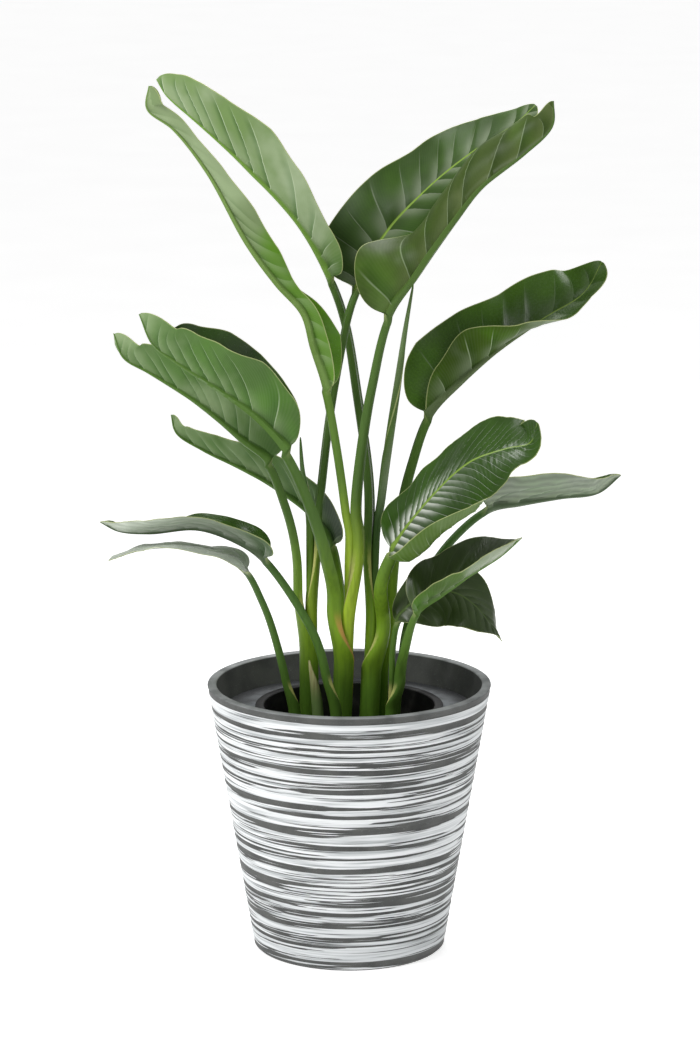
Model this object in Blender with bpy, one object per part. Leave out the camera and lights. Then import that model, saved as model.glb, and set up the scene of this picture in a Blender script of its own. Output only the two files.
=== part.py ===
"""Giant white bird of paradise in its nursery pot, hung in a striped planter.

Metres, +Z up. The origin is the centre of the planter's base, on the floor. The plant's front
faces -Y. Every leaf is one solid: clasping sheath, stalk, midrib and folded blade.
"""

import math
from dataclasses import dataclass, field

import bmesh
import bpy
import numpy as np

# Planter, collar, nursery pot and soil
PLANTER_HEIGHT = 0.348
PLANTER_RIM_RADIUS = 0.1825
PLANTER_BASE_RADIUS = 0.1235
PLANTER_WALL = 0.012
PLANTER_FLOOR = 0.010
PLANTER_SIDES = 64
EDGE_ROUND = 0.0015
FIT_GAP = 0.0003
COLLAR_DROP = 0.036
COLLAR_THICKNESS = 0.006
GROW_POT_RIM_RADIUS = 0.121
GROW_POT_DROP = 0.0285
GROW_POT_HEIGHT = 0.222
GROW_POT_BASE_RADIUS = 0.088
GROW_POT_WALL = 0.0022
GROW_POT_LIP = 0.009
GROW_POT_LIP_DEPTH = 0.0072
GROW_POT_SIDES = 48
DRAIN_HOLE_RADIUS = 0.007
DRAIN_HOLE_CIRCLE = 0.055
DRAIN_HOLES = 4
DRAIN_HOLE_SIDES = 10
SOIL_LEVEL = 0.272
SOIL_CROWN = 0.004
SOIL_CROWN_SHARE = 0.6
NEST_HOLE_GAP = 0.0016
STEM_HOLE_GAP = 0.0030
STEM_HOLE_SIDES = 20

# Leaf section
FOOT_LEVEL = 0.256
EDGE_THICKNESS = 0.0010
STALK_DEPTH_RATIO = 1.5
KNEE_FADE = 0.10
CORE_HALF_WIDTH = 0.0036
CORE_DEPTH = 0.0060
CORE_CLASP = -0.0027
RIB_HALF_WIDTH = 0.0035
RIB_DEPTH = 0.0060
RIB_TIP_HALF_WIDTH = 0.0010
RIB_TIP_DEPTH = 0.0004
SHEATH_WRAP = math.radians(150)
SHEATH_WALL = 0.0024
YOUNG_SHEATH_WALL = 0.0050
SECTION_COLUMNS = 4
FIRST_COLUMN = 0.3
CURL_PARTS = 16
SHEATH_ROWS = (0.0, 0.6, 0.72, 0.86, 1.0)
SHEATH_FADE = 0.6
SHEATH_OPENING = 1.3
STALK_ROWS = (0.36, 0.72, 0.985)
BLADE_ROWS = (0.01, 0.04, 0.09, 0.15, 0.23, 0.32, 0.42, 0.52, 0.62, 0.71, 0.80, 0.88, 0.94, 0.98)
TIP_ROW = 0.995
LOBE_FADE = 0.13
LOBE_START = 0.012
VEIN_SWEEP = 0.04
VEIN_BEND = 1.6
CURVE_STEPS = 24

# Rolled new leaves
SPEAR_SIDES = 10
SPEAR_ROWS = 9
SPEAR_TIP_RADIUS = 0.0006
SPEAR_POINT = 0.7
SPEAR_SWELL = 1.6

# Shoot axes: straight centre line of each nest of sheaths, from the foot up
SHOOT_LEFT = ((-0.050, 0.018, FOOT_LEVEL), (-0.050, 0.014, 0.55))
SHOOT_MIDDLE = ((-0.010, 0.002, FOOT_LEVEL), (0.003, -0.012, 0.57))
SHOOT_RIGHT = ((0.023, -0.002, FOOT_LEVEL), (0.034, 0.018, 0.53))
SHOOT_FRONT = ((0.052, -0.034, FOOT_LEVEL), (0.054, -0.033, 0.36))

GREEN_UPPER = (0.030, 0.085, 0.020, 1.0)
GREEN_LIGHT = (0.075, 0.170, 0.045, 1.0)
GREEN_GREY = (0.095, 0.160, 0.080, 1.0)
STRAW = (0.420, 0.300, 0.120, 1.0)
PLANTER_GREY = (0.110, 0.112, 0.108, 1.0)
COLLAR_GREY = (0.045, 0.050, 0.055, 1.0)
POT_BLACK = (0.010, 0.010, 0.011, 1.0)
SOIL_BROWN = (0.018, 0.013, 0.009, 1.0)


@dataclass(frozen=True)
class Half:
    """One half of a blade: full width, then rise, roll and curl in degrees from base to tip.

    trim scales the width along the blade, and lobe is how far the base reaches back.
    """

    width: float
    rise: tuple
    roll: tuple = (0, 0)
    curl: tuple = (0, 0)
    trim: tuple = (1, 1)
    lobe: float = 0.02


@dataclass(frozen=True)
class Leaf:
    """A leaf's route (foot to knee, knee to tip) and the form of its blade.

    stalk holds the stalk's half width at the mouth of the sheath and at the knee.
    """

    name: str
    route: tuple
    blade: tuple
    front: Half
    back: Half
    shoot: tuple = ()
    clasp: float = 0.004
    wall: float = YOUNG_SHEATH_WALL
    stalk: tuple = (0.0058, 0.0045)
    sheath_top: float = 0.36
    base: float = 0.12
    widest: float = 0.45
    taper: float = 3.0
    blunt: float = 0.6
    colour: tuple = field(default=GREEN_LIGHT)


@dataclass(frozen=True)
class Spear:
    """A rolled new leaf: the nest it stands in, how high it is clasped, and its free route."""

    name: str
    shoot: tuple
    sheath_top: float
    route: tuple
    foot_radius: float = 0.0046
    roll_radius: float = 0.0056


LEAVES = (
    Leaf(
        "leaf_top_left",
        route=((0.025, 0.030, 0.604), (0.010, 0.048, 0.715), (-0.006, 0.057, 0.808)),
        blade=(
            (-0.023, 0.048, 0.867),
            (-0.062, 0.054, 0.934),
            (-0.131, 0.073, 1.005),
            (-0.189, 0.088, 1.056),
            (-0.231, 0.100, 1.091),
            (-0.245, 0.106, 1.112),
        ),
        front=Half(
            0.062,
            rise=(50, 55, 65, 60, 50),
            roll=(20, 10, 0, 0, 10),
            trim=(0.62, 0.64, 0.97, 1.15, 1.04, 0.99, 1.15),
        ),
        back=Half(
            0.055,
            rise=(-12, -14, -14, -14, -12),
            trim=(0.12, 0.30, 0.75, 1.0, 1.0, 1.0, 1.0),
        ),
        shoot=SHOOT_RIGHT,
        clasp=0.0056,
        wall=SHEATH_WALL,
        stalk=(0.0068, 0.0050),
        sheath_top=0.53,
        widest=0.50,
        taper=4.0,
        blunt=0.5,
    ),
    Leaf(
        "leaf_top_right_back",
        route=(
            (-0.035, 0.019, 0.606),
            (-0.024, 0.018, 0.697),
            (-0.007, 0.023, 0.791),
            (-0.001, 0.029, 0.818),
        ),
        blade=(
            (0.009, 0.063, 0.851),
            (0.045, 0.080, 0.916),
            (0.094, 0.088, 0.969),
            (0.154, 0.099, 1.018),
            (0.215, 0.107, 1.058),
            (0.238, 0.110, 1.079),
        ),
        front=Half(0.058, rise=(-10, -30, -30, -25, -20), roll=(20, 0, 0, 0, 0)),
        back=Half(
            0.068,
            rise=(78, 60, 40, 22, 15),
            trim=(0.95, 1.0, 0.98, 0.90, 0.95, 0.82, 0.8),
        ),
        shoot=SHOOT_LEFT,
        clasp=0.0060,
        wall=SHEATH_WALL,
        stalk=(0.0058, 0.0046),
        sheath_top=0.55,
        colour=GREEN_UPPER,
    ),
    Leaf(
        "leaf_top_right_front",
        route=((0.008, -0.016, 0.575), (0.015, -0.026, 0.656), (0.029, -0.034, 0.741)),
        blade=(
            (0.048, -0.045, 0.833),
            (0.080, -0.052, 0.880),
            (0.123, -0.059, 0.943),
            (0.164, -0.063, 0.995),
            (0.216, -0.067, 1.036),
            (0.249, -0.070, 1.070),
            (0.250, -0.070, 1.101),
        ),
        front=Half(
            0.070,
            rise=(45, 105, 90, 80, 70),
            roll=(0, 85, 110, 110, 60),
            trim=(1.15, 1.12, 0.85, 0.9, 1.0, 0.93, 0.6),
            lobe=0.005,
        ),
        back=Half(0.058, rise=(25, 8, 5, 5, 15), lobe=0.03),
        shoot=SHOOT_MIDDLE,
        clasp=0.0064,
        wall=SHEATH_WALL,
        stalk=(0.0078, 0.0054),
        sheath_top=0.53,
        base=0.16,
        widest=0.40,
    ),
    Leaf(
        "leaf_far_left_folded",
        route=((-0.005, -0.013, 0.575), (-0.017, -0.020, 0.662)),
        blade=(
            (-0.027, -0.030, 0.739),
            (-0.043, -0.032, 0.789),
            (-0.056, -0.034, 0.833),
            (-0.089, -0.038, 0.871),
            (-0.126, -0.043, 0.922),
            (-0.175, -0.049, 1.011),
            (-0.216, -0.054, 1.064),
            (-0.248, -0.059, 1.090),
            (-0.245, -0.063, 1.119),
        ),
        front=Half(
            0.043,
            rise=(60, 70, 78, 78, 80, 80, 80, 70, 50),
            roll=(5, 5, 20, 20, 20, 30, 30, 30, 20),
            trim=(0.40, 0.45, 0.33, 0.64, 0.67, 0.46, 0.34, 0.42, 0.80),
        ),
        back=Half(
            0.041,
            rise=(55, 60, 62, 62, 62, 62, 65, 70, 75),
            trim=(0.85, 1.05, 0.40, 0.55, 0.65, 0.50, 0.36, 0.46, 0.80),
        ),
        shoot=SHOOT_MIDDLE,
        clasp=CORE_CLASP,
        wall=CORE_DEPTH,
        stalk=(0.0058, 0.0056),
        sheath_top=0.53,
        base=0.14,
        widest=0.80,
    ),
    Leaf(
        "leaf_right_upper",
        route=(
            (0.046, 0.034, FOOT_LEVEL),
            (0.055, 0.036, 0.477),
            (0.066, 0.038, 0.561),
            (0.080, 0.041, 0.622),
        ),
        blade=(
            (0.101, 0.046, 0.690),
            (0.142, 0.050, 0.733),
            (0.192, 0.054, 0.775),
            (0.253, 0.058, 0.815),
            (0.299, 0.062, 0.844),
            (0.322, 0.065, 0.884),
        ),
        front=Half(
            0.055,
            rise=(80, 62, 0, -30, -45),
            roll=(40, 50, 50, 20, 0),
            trim=(0.10, 0.64, 0.98, 1.0, 0.86, 0.45, 0.80),
        ),
        back=Half(
            0.068,
            rise=(55, 58, 48, 42, 28),
            roll=(10, 20, 10, 0, 0),
            trim=(0.74, 1.12, 1.05, 0.92, 1.0, 1.0, 0.85),
            lobe=0.03,
        ),
        stalk=(0.0080, 0.0055),
        sheath_top=0.42,
        colour=GREEN_UPPER,
    ),
    Leaf(
        "leaf_right_middle",
        route=((0.042, -0.028, 0.484),),
        blade=(
            (0.053, -0.044, 0.532),
            (0.101, -0.075, 0.605),
            (0.150, -0.095, 0.655),
            (0.195, -0.110, 0.675),
            (0.224, -0.118, 0.684),
            (0.232, -0.122, 0.710),
        ),
        front=Half(
            0.092,
            rise=(-75, -84, -78, -60, -50),
            roll=(70, 60, 15, 15, 0),
            curl=(130, 135, 125, 30, 0),
            trim=(0.8, 1.0, 1.0, 1.0, 0.84, 0.36, 0.25),
            lobe=0.0,
        ),
        back=Half(
            0.066,
            rise=(55, 40, 35, 40, 50),
            trim=(0.85, 0.88, 0.93, 0.97, 0.95, 0.74, 0.85),
        ),
        shoot=SHOOT_RIGHT,
        clasp=0.0107,
        wall=SHEATH_WALL,
        stalk=(0.0088, 0.0076),
        sheath_top=0.42,
        widest=0.60,
        blunt=0.5,
        colour=GREEN_UPPER,
    ),
    Leaf(
        "leaf_right_low",
        route=(
            (0.060, -0.006, FOOT_LEVEL),
            (0.066, 0.002, 0.340),
            (0.074, 0.012, 0.414),
            (0.096, 0.040, 0.471),
            (0.133, 0.058, 0.523),
        ),
        blade=(
            (0.179, 0.065, 0.563),
            (0.221, 0.070, 0.570),
            (0.273, 0.077, 0.576),
            (0.322, 0.085, 0.580),
            (0.352, 0.090, 0.602),
        ),
        front=Half(0.048, rise=(50, 46, 45, 40, 35), roll=(20, 20, 10, 0, 0)),
        back=Half(0.050, rise=(20, 20, 20, 20, 20)),
        sheath_top=0.37,
        widest=0.30,
        taper=3.0,
        blunt=0.75,
        colour=GREEN_GREY,
    ),
    Leaf(
        "leaf_front_right",
        route=((0.071, -0.050, 0.407),),
        blade=(
            (0.084, -0.060, 0.456),
            (0.114, -0.068, 0.480),
            (0.153, -0.076, 0.509),
            (0.189, -0.084, 0.533),
            (0.216, -0.090, 0.558),
        ),
        front=Half(
            0.048,
            rise=(15, 3, -8, 2, 15),
            roll=(60, 50, 45, 40, 20),
            trim=(0.5, 1, 1),
            lobe=0.0,
        ),
        back=Half(0.062, rise=(60, 40, 38, 22, 8), lobe=0.0),
        shoot=SHOOT_FRONT,
        clasp=0.0064,
        wall=SHEATH_WALL,
        stalk=(0.0074, 0.0045),
        sheath_top=0.36,
        base=0.2,
        widest=0.27,
        blunt=1.0,
        colour=GREEN_UPPER,
    ),
    Leaf(
        "leaf_drooping",
        route=((0.056, -0.029, 0.405),),
        blade=(
            (0.060, -0.026, 0.436),
            (0.079, -0.024, 0.458),
            (0.111, -0.022, 0.473),
            (0.138, -0.022, 0.470),
            (0.160, -0.024, 0.455),
            (0.178, -0.028, 0.434),
            (0.195, -0.032, 0.410),
        ),
        front=Half(0.049, rise=(-40, -72, -62, -35, 0), trim=(0.8, 0.94, 0.94, 1, 1), lobe=0.0),
        back=Half(0.050, rise=(10, 30, 40, 20, 0), lobe=0.03),
        shoot=SHOOT_FRONT,
        clasp=CORE_CLASP,
        wall=CORE_DEPTH,
        stalk=(0.0046, 0.0040),
        sheath_top=0.36,
        base=0.35,
        widest=0.45,
        taper=2.2,
        blunt=1.0,
        colour=GREEN_UPPER,
    ),
    Leaf(
        "leaf_left_upper",
        route=((-0.029, -0.030, 0.521), (-0.054, -0.042, 0.600)),
        blade=(
            (-0.079, -0.052, 0.664),
            (-0.114, -0.058, 0.705),
            (-0.166, -0.064, 0.744),
            (-0.218, -0.070, 0.779),
            (-0.243, -0.073, 0.799),
            (-0.260, -0.075, 0.838),
        ),
        front=Half(
            0.062,
            rise=(90, 75, 60, 58, 58),
            roll=(10, 5, 0, 5, 10),
            trim=(0.46, 0.79, 1.02, 0.94, 0.88, 0.78, 0.75),
        ),
        back=Half(
            0.068,
            rise=(45, 62, 78, 80, 80),
            trim=(0.72, 0.88, 1.02, 1.0, 0.80, 0.56, 0.45),
        ),
        shoot=SHOOT_MIDDLE,
        clasp=0.0115,
        wall=SHEATH_WALL,
        stalk=(0.0098, 0.0070),
        sheath_top=0.45,
        blunt=0.5,
    ),
    Leaf(
        "leaf_left_middle",
        route=((-0.069, 0.004, 0.528), (-0.082, 0.000, 0.581)),
        blade=(
            (-0.102, 0.000, 0.639),
            (-0.133, 0.000, 0.665),
            (-0.190, -0.002, 0.713),
            (-0.251, -0.005, 0.752),
            (-0.284, -0.007, 0.772),
            (-0.296, -0.009, 0.803),
        ),
        front=Half(
            0.048,
            rise=(80, 72, 66, 66, 68),
            roll=(10, 0, 0, 5, 10),
            trim=(0.84, 0.95, 1.0, 0.95, 0.9, 0.82, 0.80),
        ),
        back=Half(0.050, rise=(-6, -8, -8, -8, -6)),
        shoot=SHOOT_LEFT,
        clasp=0.0111,
        wall=SHEATH_WALL,
        stalk=(0.0068, 0.0060),
        sheath_top=0.47,
        blunt=0.5,
    ),
    Leaf(
        "leaf_left_lower",
        route=(
            (-0.012, 0.034, FOOT_LEVEL),
            (-0.010, 0.034, 0.424),
            (-0.016, 0.039, 0.482),
        ),
        blade=(
            (-0.020, 0.046, 0.519),
            (-0.040, 0.055, 0.550),
            (-0.080, 0.060, 0.583),
            (-0.128, 0.065, 0.611),
            (-0.190, 0.070, 0.640),
            (-0.222, 0.074, 0.660),
            (-0.229, 0.076, 0.684),
        ),
        front=Half(
            0.048,
            rise=(42, 60, 70, 70, 65),
            roll=(10, 0, 0, 0, 0),
            trim=(0.80, 0.92, 0.95, 0.84, 0.66, 0.56, 0.60),
        ),
        back=Half(0.045, rise=(-10, -15, -15, -15, -10)),
        stalk=(0.0068, 0.0058),
        sheath_top=0.42,
        blunt=0.5,
    ),
    Leaf(
        "leaf_low_left_upper",
        route=(
            (-0.018, -0.050, FOOT_LEVEL),
            (-0.021, -0.052, 0.310),
            (-0.038, -0.056, 0.408),
            (-0.062, -0.064, 0.460),
        ),
        blade=(
            (-0.106, -0.075, 0.529),
            (-0.137, -0.078, 0.551),
            (-0.189, -0.082, 0.569),
            (-0.250, -0.088, 0.564),
            (-0.288, -0.092, 0.567),
            (-0.311, -0.095, 0.579),
        ),
        front=Half(0.047, rise=(34, 27, 30, 36, 42), trim=(0.8, 1, 1), lobe=0.03),
        back=Half(0.050, rise=(30, 18, 0, 8, 14), lobe=0.03),
        stalk=(0.0060, 0.0048),
        sheath_top=0.375,
        widest=0.30,
        blunt=0.9,
        colour=GREEN_GREY,
    ),
    Leaf(
        "leaf_low_left_lower",
        route=(
            (-0.070, -0.036, FOOT_LEVEL),
            (-0.078, -0.041, 0.345),
            (-0.097, -0.050, 0.429),
            (-0.111, -0.062, 0.471),
        ),
        blade=(
            (-0.128, -0.075, 0.513),
            (-0.157, -0.084, 0.537),
            (-0.211, -0.095, 0.549),
            (-0.261, -0.105, 0.546),
            (-0.300, -0.115, 0.534),
        ),
        front=Half(0.045, rise=(-12, -6, 6, 10, 15), trim=(0.45, 0.8, 1, 1, 1), lobe=0.0),
        back=Half(0.040, rise=(25, -3, -6, -5, 0), lobe=0.04),
        stalk=(0.0052, 0.0042),
        sheath_top=0.365,
        widest=0.30,
        blunt=0.9,
        colour=GREEN_GREY,
    ),
)

SPEARS = (
    Spear(
        "spear_tall",
        shoot=SHOOT_RIGHT,
        sheath_top=0.53,
        route=(
            (0.041, 0.023, 0.582),
            (0.047, 0.023, 0.632),
            (0.062, 0.022, 0.738),
            (0.071, 0.022, 0.802),
            (0.081, 0.022, 0.861),
        ),
    ),
    Spear(
        "spear_short",
        shoot=SHOOT_LEFT,
        sheath_top=0.55,
        route=((-0.055, 0.011, 0.590), (-0.060, 0.009, 0.631), (-0.062, 0.008, 0.667)),
    ),
)

SPENT_SHEATH_ROUTE = (
    (-0.043, -0.043, FOOT_LEVEL),
    (-0.044, -0.043, 0.30),
    (-0.047, -0.044, 0.35),
    (-0.050, -0.045, 0.388),
)
SPENT_SHEATH_CLASP = 0.006
SPENT_SHEATH_ROWS = ((0.0, 1.0), (0.35, 1.0), (0.6, 0.9), (0.8, 0.6), (0.93, 0.25), (1.0, 0.07))


def clear_scene():
    for thing in list(bpy.data.objects):
        bpy.data.objects.remove(thing, do_unlink=True)


def material(name, colour, roughness, metallic=0.0):
    mat = bpy.data.materials.new(name)
    mat.use_nodes = True
    shader = mat.node_tree.nodes["Principled BSDF"]
    shader.inputs["Base Color"].default_value = colour
    shader.inputs["Roughness"].default_value = roughness
    shader.inputs["Metallic"].default_value = metallic
    return mat


def finish(name, bm, mat, sharp=math.radians(35)):
    """Turn a bmesh into a named object with its faces outward."""
    bmesh.ops.recalc_face_normals(bm, faces=bm.faces)
    mesh = bpy.data.meshes.new(name)
    bm.to_mesh(mesh)
    bm.free()
    mesh.materials.append(mat)
    mesh.shade_smooth()
    mesh.set_sharp_from_angle(angle=sharp)
    thing = bpy.data.objects.new(name, mesh)
    bpy.context.scene.collection.objects.link(thing)
    return thing


def turned(name, profile, sides, mat):
    """Spin a closed or axis-to-axis profile of (radius, height) points about Z."""
    bm = bmesh.new()
    verts = [bm.verts.new((radius, 0.0, height)) for radius, height in profile]
    on_axis = profile[0][0] == 0.0
    pairs = list(zip(verts, verts[1:] if on_axis else verts[1:] + verts[:1]))
    edges = [bm.edges.new(pair) for pair in pairs]
    bmesh.ops.spin(
        bm,
        geom=verts + edges,
        cent=(0, 0, 0),
        axis=(0, 0, 1),
        dvec=(0, 0, 0),
        angle=2 * math.pi,
        steps=sides,
        use_merge=True,
        use_duplicate=False,
    )
    bmesh.ops.remove_doubles(bm, verts=bm.verts, dist=1e-6)
    return finish(name, bm, mat)


def drill(thing, holes, bottom, top, sides):
    """Cut upright round holes, each (x, y, radius), between two heights."""
    bm = bmesh.new()
    for x, y, radius in holes:
        made = bmesh.ops.create_cone(
            bm, cap_ends=True, segments=sides, radius1=radius, radius2=radius, depth=top - bottom
        )
        bmesh.ops.translate(bm, verts=made["verts"], vec=(x, y, (top + bottom) / 2))
    mesh = bpy.data.meshes.new(thing.name + "_drill")
    bm.to_mesh(mesh)
    bm.free()
    cutter = bpy.data.objects.new(thing.name + "_drill", mesh)
    bpy.context.scene.collection.objects.link(cutter)
    cutter.hide_render = True
    cutter.display_type = "WIRE"
    cut = thing.modifiers.new("holes", "BOOLEAN")
    cut.operation = "DIFFERENCE"
    cut.object = cutter
    cut.solver = "EXACT"


def wall_radius(height, inset=0.0):
    """Radius of the planter's outer wall at a height, less an inset."""
    share = height / PLANTER_HEIGHT
    return PLANTER_BASE_RADIUS + (PLANTER_RIM_RADIUS - PLANTER_BASE_RADIUS) * share - inset


def build_planter():
    inner_rim = PLANTER_RIM_RADIUS - PLANTER_WALL
    inner_base = wall_radius(PLANTER_FLOOR, PLANTER_WALL)
    profile = (
        (0.0, 0.0),
        (PLANTER_BASE_RADIUS - 2 * EDGE_ROUND, 0.0),
        (wall_radius(2 * EDGE_ROUND), 2 * EDGE_ROUND),
        (wall_radius(PLANTER_HEIGHT - EDGE_ROUND), PLANTER_HEIGHT - EDGE_ROUND),
        (PLANTER_RIM_RADIUS - EDGE_ROUND, PLANTER_HEIGHT),
        (inner_rim + EDGE_ROUND, PLANTER_HEIGHT),
        (inner_rim, PLANTER_HEIGHT - EDGE_ROUND),
        (inner_base, PLANTER_FLOOR + 2 * EDGE_ROUND),
        (inner_base - 2 * EDGE_ROUND, PLANTER_FLOOR),
        (0.0, PLANTER_FLOOR),
    )
    return turned("planter", profile, PLANTER_SIDES, material("planter", PLANTER_GREY, 0.6))


def inner_wall(height):
    """Radius of the planter's inside at a height."""
    low = PLANTER_FLOOR + 2 * EDGE_ROUND
    high = PLANTER_HEIGHT - EDGE_ROUND
    base = wall_radius(PLANTER_FLOOR, PLANTER_WALL)
    share = (height - low) / (high - low)
    return base + (PLANTER_RIM_RADIUS - PLANTER_WALL - base) * share


def build_collar():
    top = PLANTER_HEIGHT - COLLAR_DROP
    bottom = top - COLLAR_THICKNESS
    hole = GROW_POT_RIM_RADIUS - GROW_POT_LIP + 2 * FIT_GAP
    profile = (
        (inner_wall(bottom) - FIT_GAP, bottom),
        (inner_wall(top) - FIT_GAP, top),
        (hole, top),
        (hole, bottom),
    )
    return turned("collar", profile, PLANTER_SIDES, material("collar", COLLAR_GREY, 0.7))


def pot_radius(height, inset=0.0):
    """Outer radius of the nursery pot's wall, measured up from its own base."""
    top = GROW_POT_RIM_RADIUS - GROW_POT_LIP
    return GROW_POT_BASE_RADIUS + (top - GROW_POT_BASE_RADIUS) * height / GROW_POT_HEIGHT - inset


def build_grow_pot():
    rim = PLANTER_HEIGHT - GROW_POT_DROP
    base = rim - GROW_POT_HEIGHT
    lip_bottom = rim - GROW_POT_LIP_DEPTH
    height = GROW_POT_HEIGHT
    profile = (
        (0.0, base),
        (GROW_POT_BASE_RADIUS, base),
        (pot_radius(height - GROW_POT_LIP_DEPTH), lip_bottom),
        (GROW_POT_RIM_RADIUS, lip_bottom),
        (GROW_POT_RIM_RADIUS, rim - EDGE_ROUND),
        (GROW_POT_RIM_RADIUS - EDGE_ROUND, rim),
        (pot_radius(height, GROW_POT_WALL), rim),
        (pot_radius(GROW_POT_WALL, GROW_POT_WALL), base + GROW_POT_WALL),
        (0.0, base + GROW_POT_WALL),
    )
    pot = turned("grow_pot", profile, GROW_POT_SIDES, material("grow_pot", POT_BLACK, 0.45))
    holes = []
    for index in range(DRAIN_HOLES):
        angle = math.tau * (index + 0.5) / DRAIN_HOLES
        x = DRAIN_HOLE_CIRCLE * math.cos(angle)
        y = DRAIN_HOLE_CIRCLE * math.sin(angle)
        holes.append((x, y, DRAIN_HOLE_RADIUS))
    drill(pot, holes, base - GROW_POT_WALL, base + 2 * GROW_POT_WALL, DRAIN_HOLE_SIDES)
    return pot


def build_soil(holes):
    rim = PLANTER_HEIGHT - GROW_POT_DROP
    base = rim - GROW_POT_HEIGHT + GROW_POT_WALL + FIT_GAP
    reach = GROW_POT_WALL + 2 * FIT_GAP
    low = base - (rim - GROW_POT_HEIGHT)
    high = SOIL_LEVEL - (rim - GROW_POT_HEIGHT)
    profile = (
        (0.0, base),
        (pot_radius(low, reach), base),
        (pot_radius(high, reach), SOIL_LEVEL),
        (SOIL_CROWN_SHARE * pot_radius(high, reach), SOIL_LEVEL + SOIL_CROWN),
        (0.0, SOIL_LEVEL + SOIL_CROWN),
    )
    soil = turned("soil", profile, GROW_POT_SIDES, material("soil", SOIL_BROWN, 0.95))
    top = SOIL_LEVEL + 2 * SOIL_CROWN
    drill(soil, holes, FOOT_LEVEL - FIT_GAP, top, STEM_HOLE_SIDES)
    return soil


def unit(vectors):
    return vectors / np.linalg.norm(vectors, axis=-1, keepdims=True)


def smooth_curve(points, straight=0):
    """Dense samples of a smooth curve through points, the first of them in a straight line."""
    p = np.array(points, float)
    spans = np.linalg.norm(np.diff(p, axis=0), axis=1) ** 0.5
    knots = np.concatenate(([0.0], np.cumsum(spans)))
    slopes = np.gradient(p, knots, axis=0)
    if straight:
        slopes[:straight] = (p[straight - 1] - p[0]) / (knots[straight - 1] - knots[0])
    share = np.linspace(0, 1, CURVE_STEPS, endpoint=False)[:, None]
    parts = []
    for i, span in enumerate(spans):
        parts.append(
            (1 + 2 * share) * (1 - share) ** 2 * p[i]
            + share * (1 - share) ** 2 * span * slopes[i]
            + share**2 * (3 - 2 * share) * p[i + 1]
            + share**2 * (share - 1) * span * slopes[i + 1]
        )
    parts.append(p[-1:])
    return np.vstack(parts)


def face_direction(ahead, lean):
    """Direction that the upper face looks: up on a level rib, back toward the plant on a stalk."""
    slope = np.arctan2(ahead[..., 2], ahead @ lean)[..., None]
    reference = np.cos(slope) * np.array((0.0, 0.0, 1.0)) - np.sin(slope) * lean
    return unit(reference - np.sum(reference * ahead, axis=-1, keepdims=True) * ahead)


class Rib:
    """Line of a leaf's upper face: arc length is 0 at the knee and negative down the stalk."""

    def __init__(self, stalk, blade, straight=0):
        self.points = smooth_curve(list(stalk) + list(blade)[1:], straight)
        steps = np.linalg.norm(np.diff(self.points, axis=0), axis=1)
        run = np.concatenate(([0.0], np.cumsum(steps)))
        self.arc = run - run[(len(stalk) - 1) * CURVE_STEPS]
        self.length = self.arc[-1]
        self.depth = -self.arc[0]
        lean = np.array(blade[-1], float) - np.array(blade[0], float)
        lean[2] = 0.0
        self.lean = unit(lean)
        ahead = unit(np.gradient(self.points, self.arc, axis=0))
        up = face_direction(ahead, self.lean)
        self.ahead = ahead
        self.up = up
        self.side = np.cross(ahead, up) * math.copysign(1.0, self.lean[0])

    def frame(self, arc):
        """Point, forward, up and front-side directions at an arc length."""
        flat = np.ravel(arc)

        def read(values):
            return np.stack([np.interp(flat, self.arc, values[:, k]) for k in range(3)], -1)

        shape = np.shape(arc) + (3,)
        point = read(self.points).reshape(shape)
        ahead = unit(read(self.ahead)).reshape(shape)
        up = unit(read(self.up)).reshape(shape)
        side = unit(read(self.side)).reshape(shape)
        return point, ahead, up, side


def ease(values, t):
    """Smooth blend through values at evenly spaced stations of t from 0 to 1."""
    values = np.array(values, float)
    x = np.clip(t, 0, 1) * (len(values) - 1)
    low = min(int(x), len(values) - 2)
    share = x - low
    share = 0.5 * share + 0.5 * share * share * (3 - 2 * share)
    return float(values[low] * (1 - share) + values[low + 1] * share)


def planform(leaf, t):
    """Share of the full half-width at t: a round base and a blunt tip."""
    base = math.sqrt(max(0.0, 1 - (1 - min(t / leaf.base, 1.0)) ** 2))
    past = max(0.0, (t - leaf.widest) / (1 - leaf.widest))
    return base * (1 - past**leaf.taper) ** leaf.blunt


def sweep(t, lobe):
    """How far along the rib, as a share of it, a side vein ends past where it starts."""
    back = math.exp(-((t / LOBE_FADE) ** 2)) * (1 - math.exp(-t / LOBE_START))
    forward = math.sin(math.pi * max(0.0, (t - LOBE_FADE) / (1 - LOBE_FADE)))
    return VEIN_SWEEP * forward - lobe * back


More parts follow.
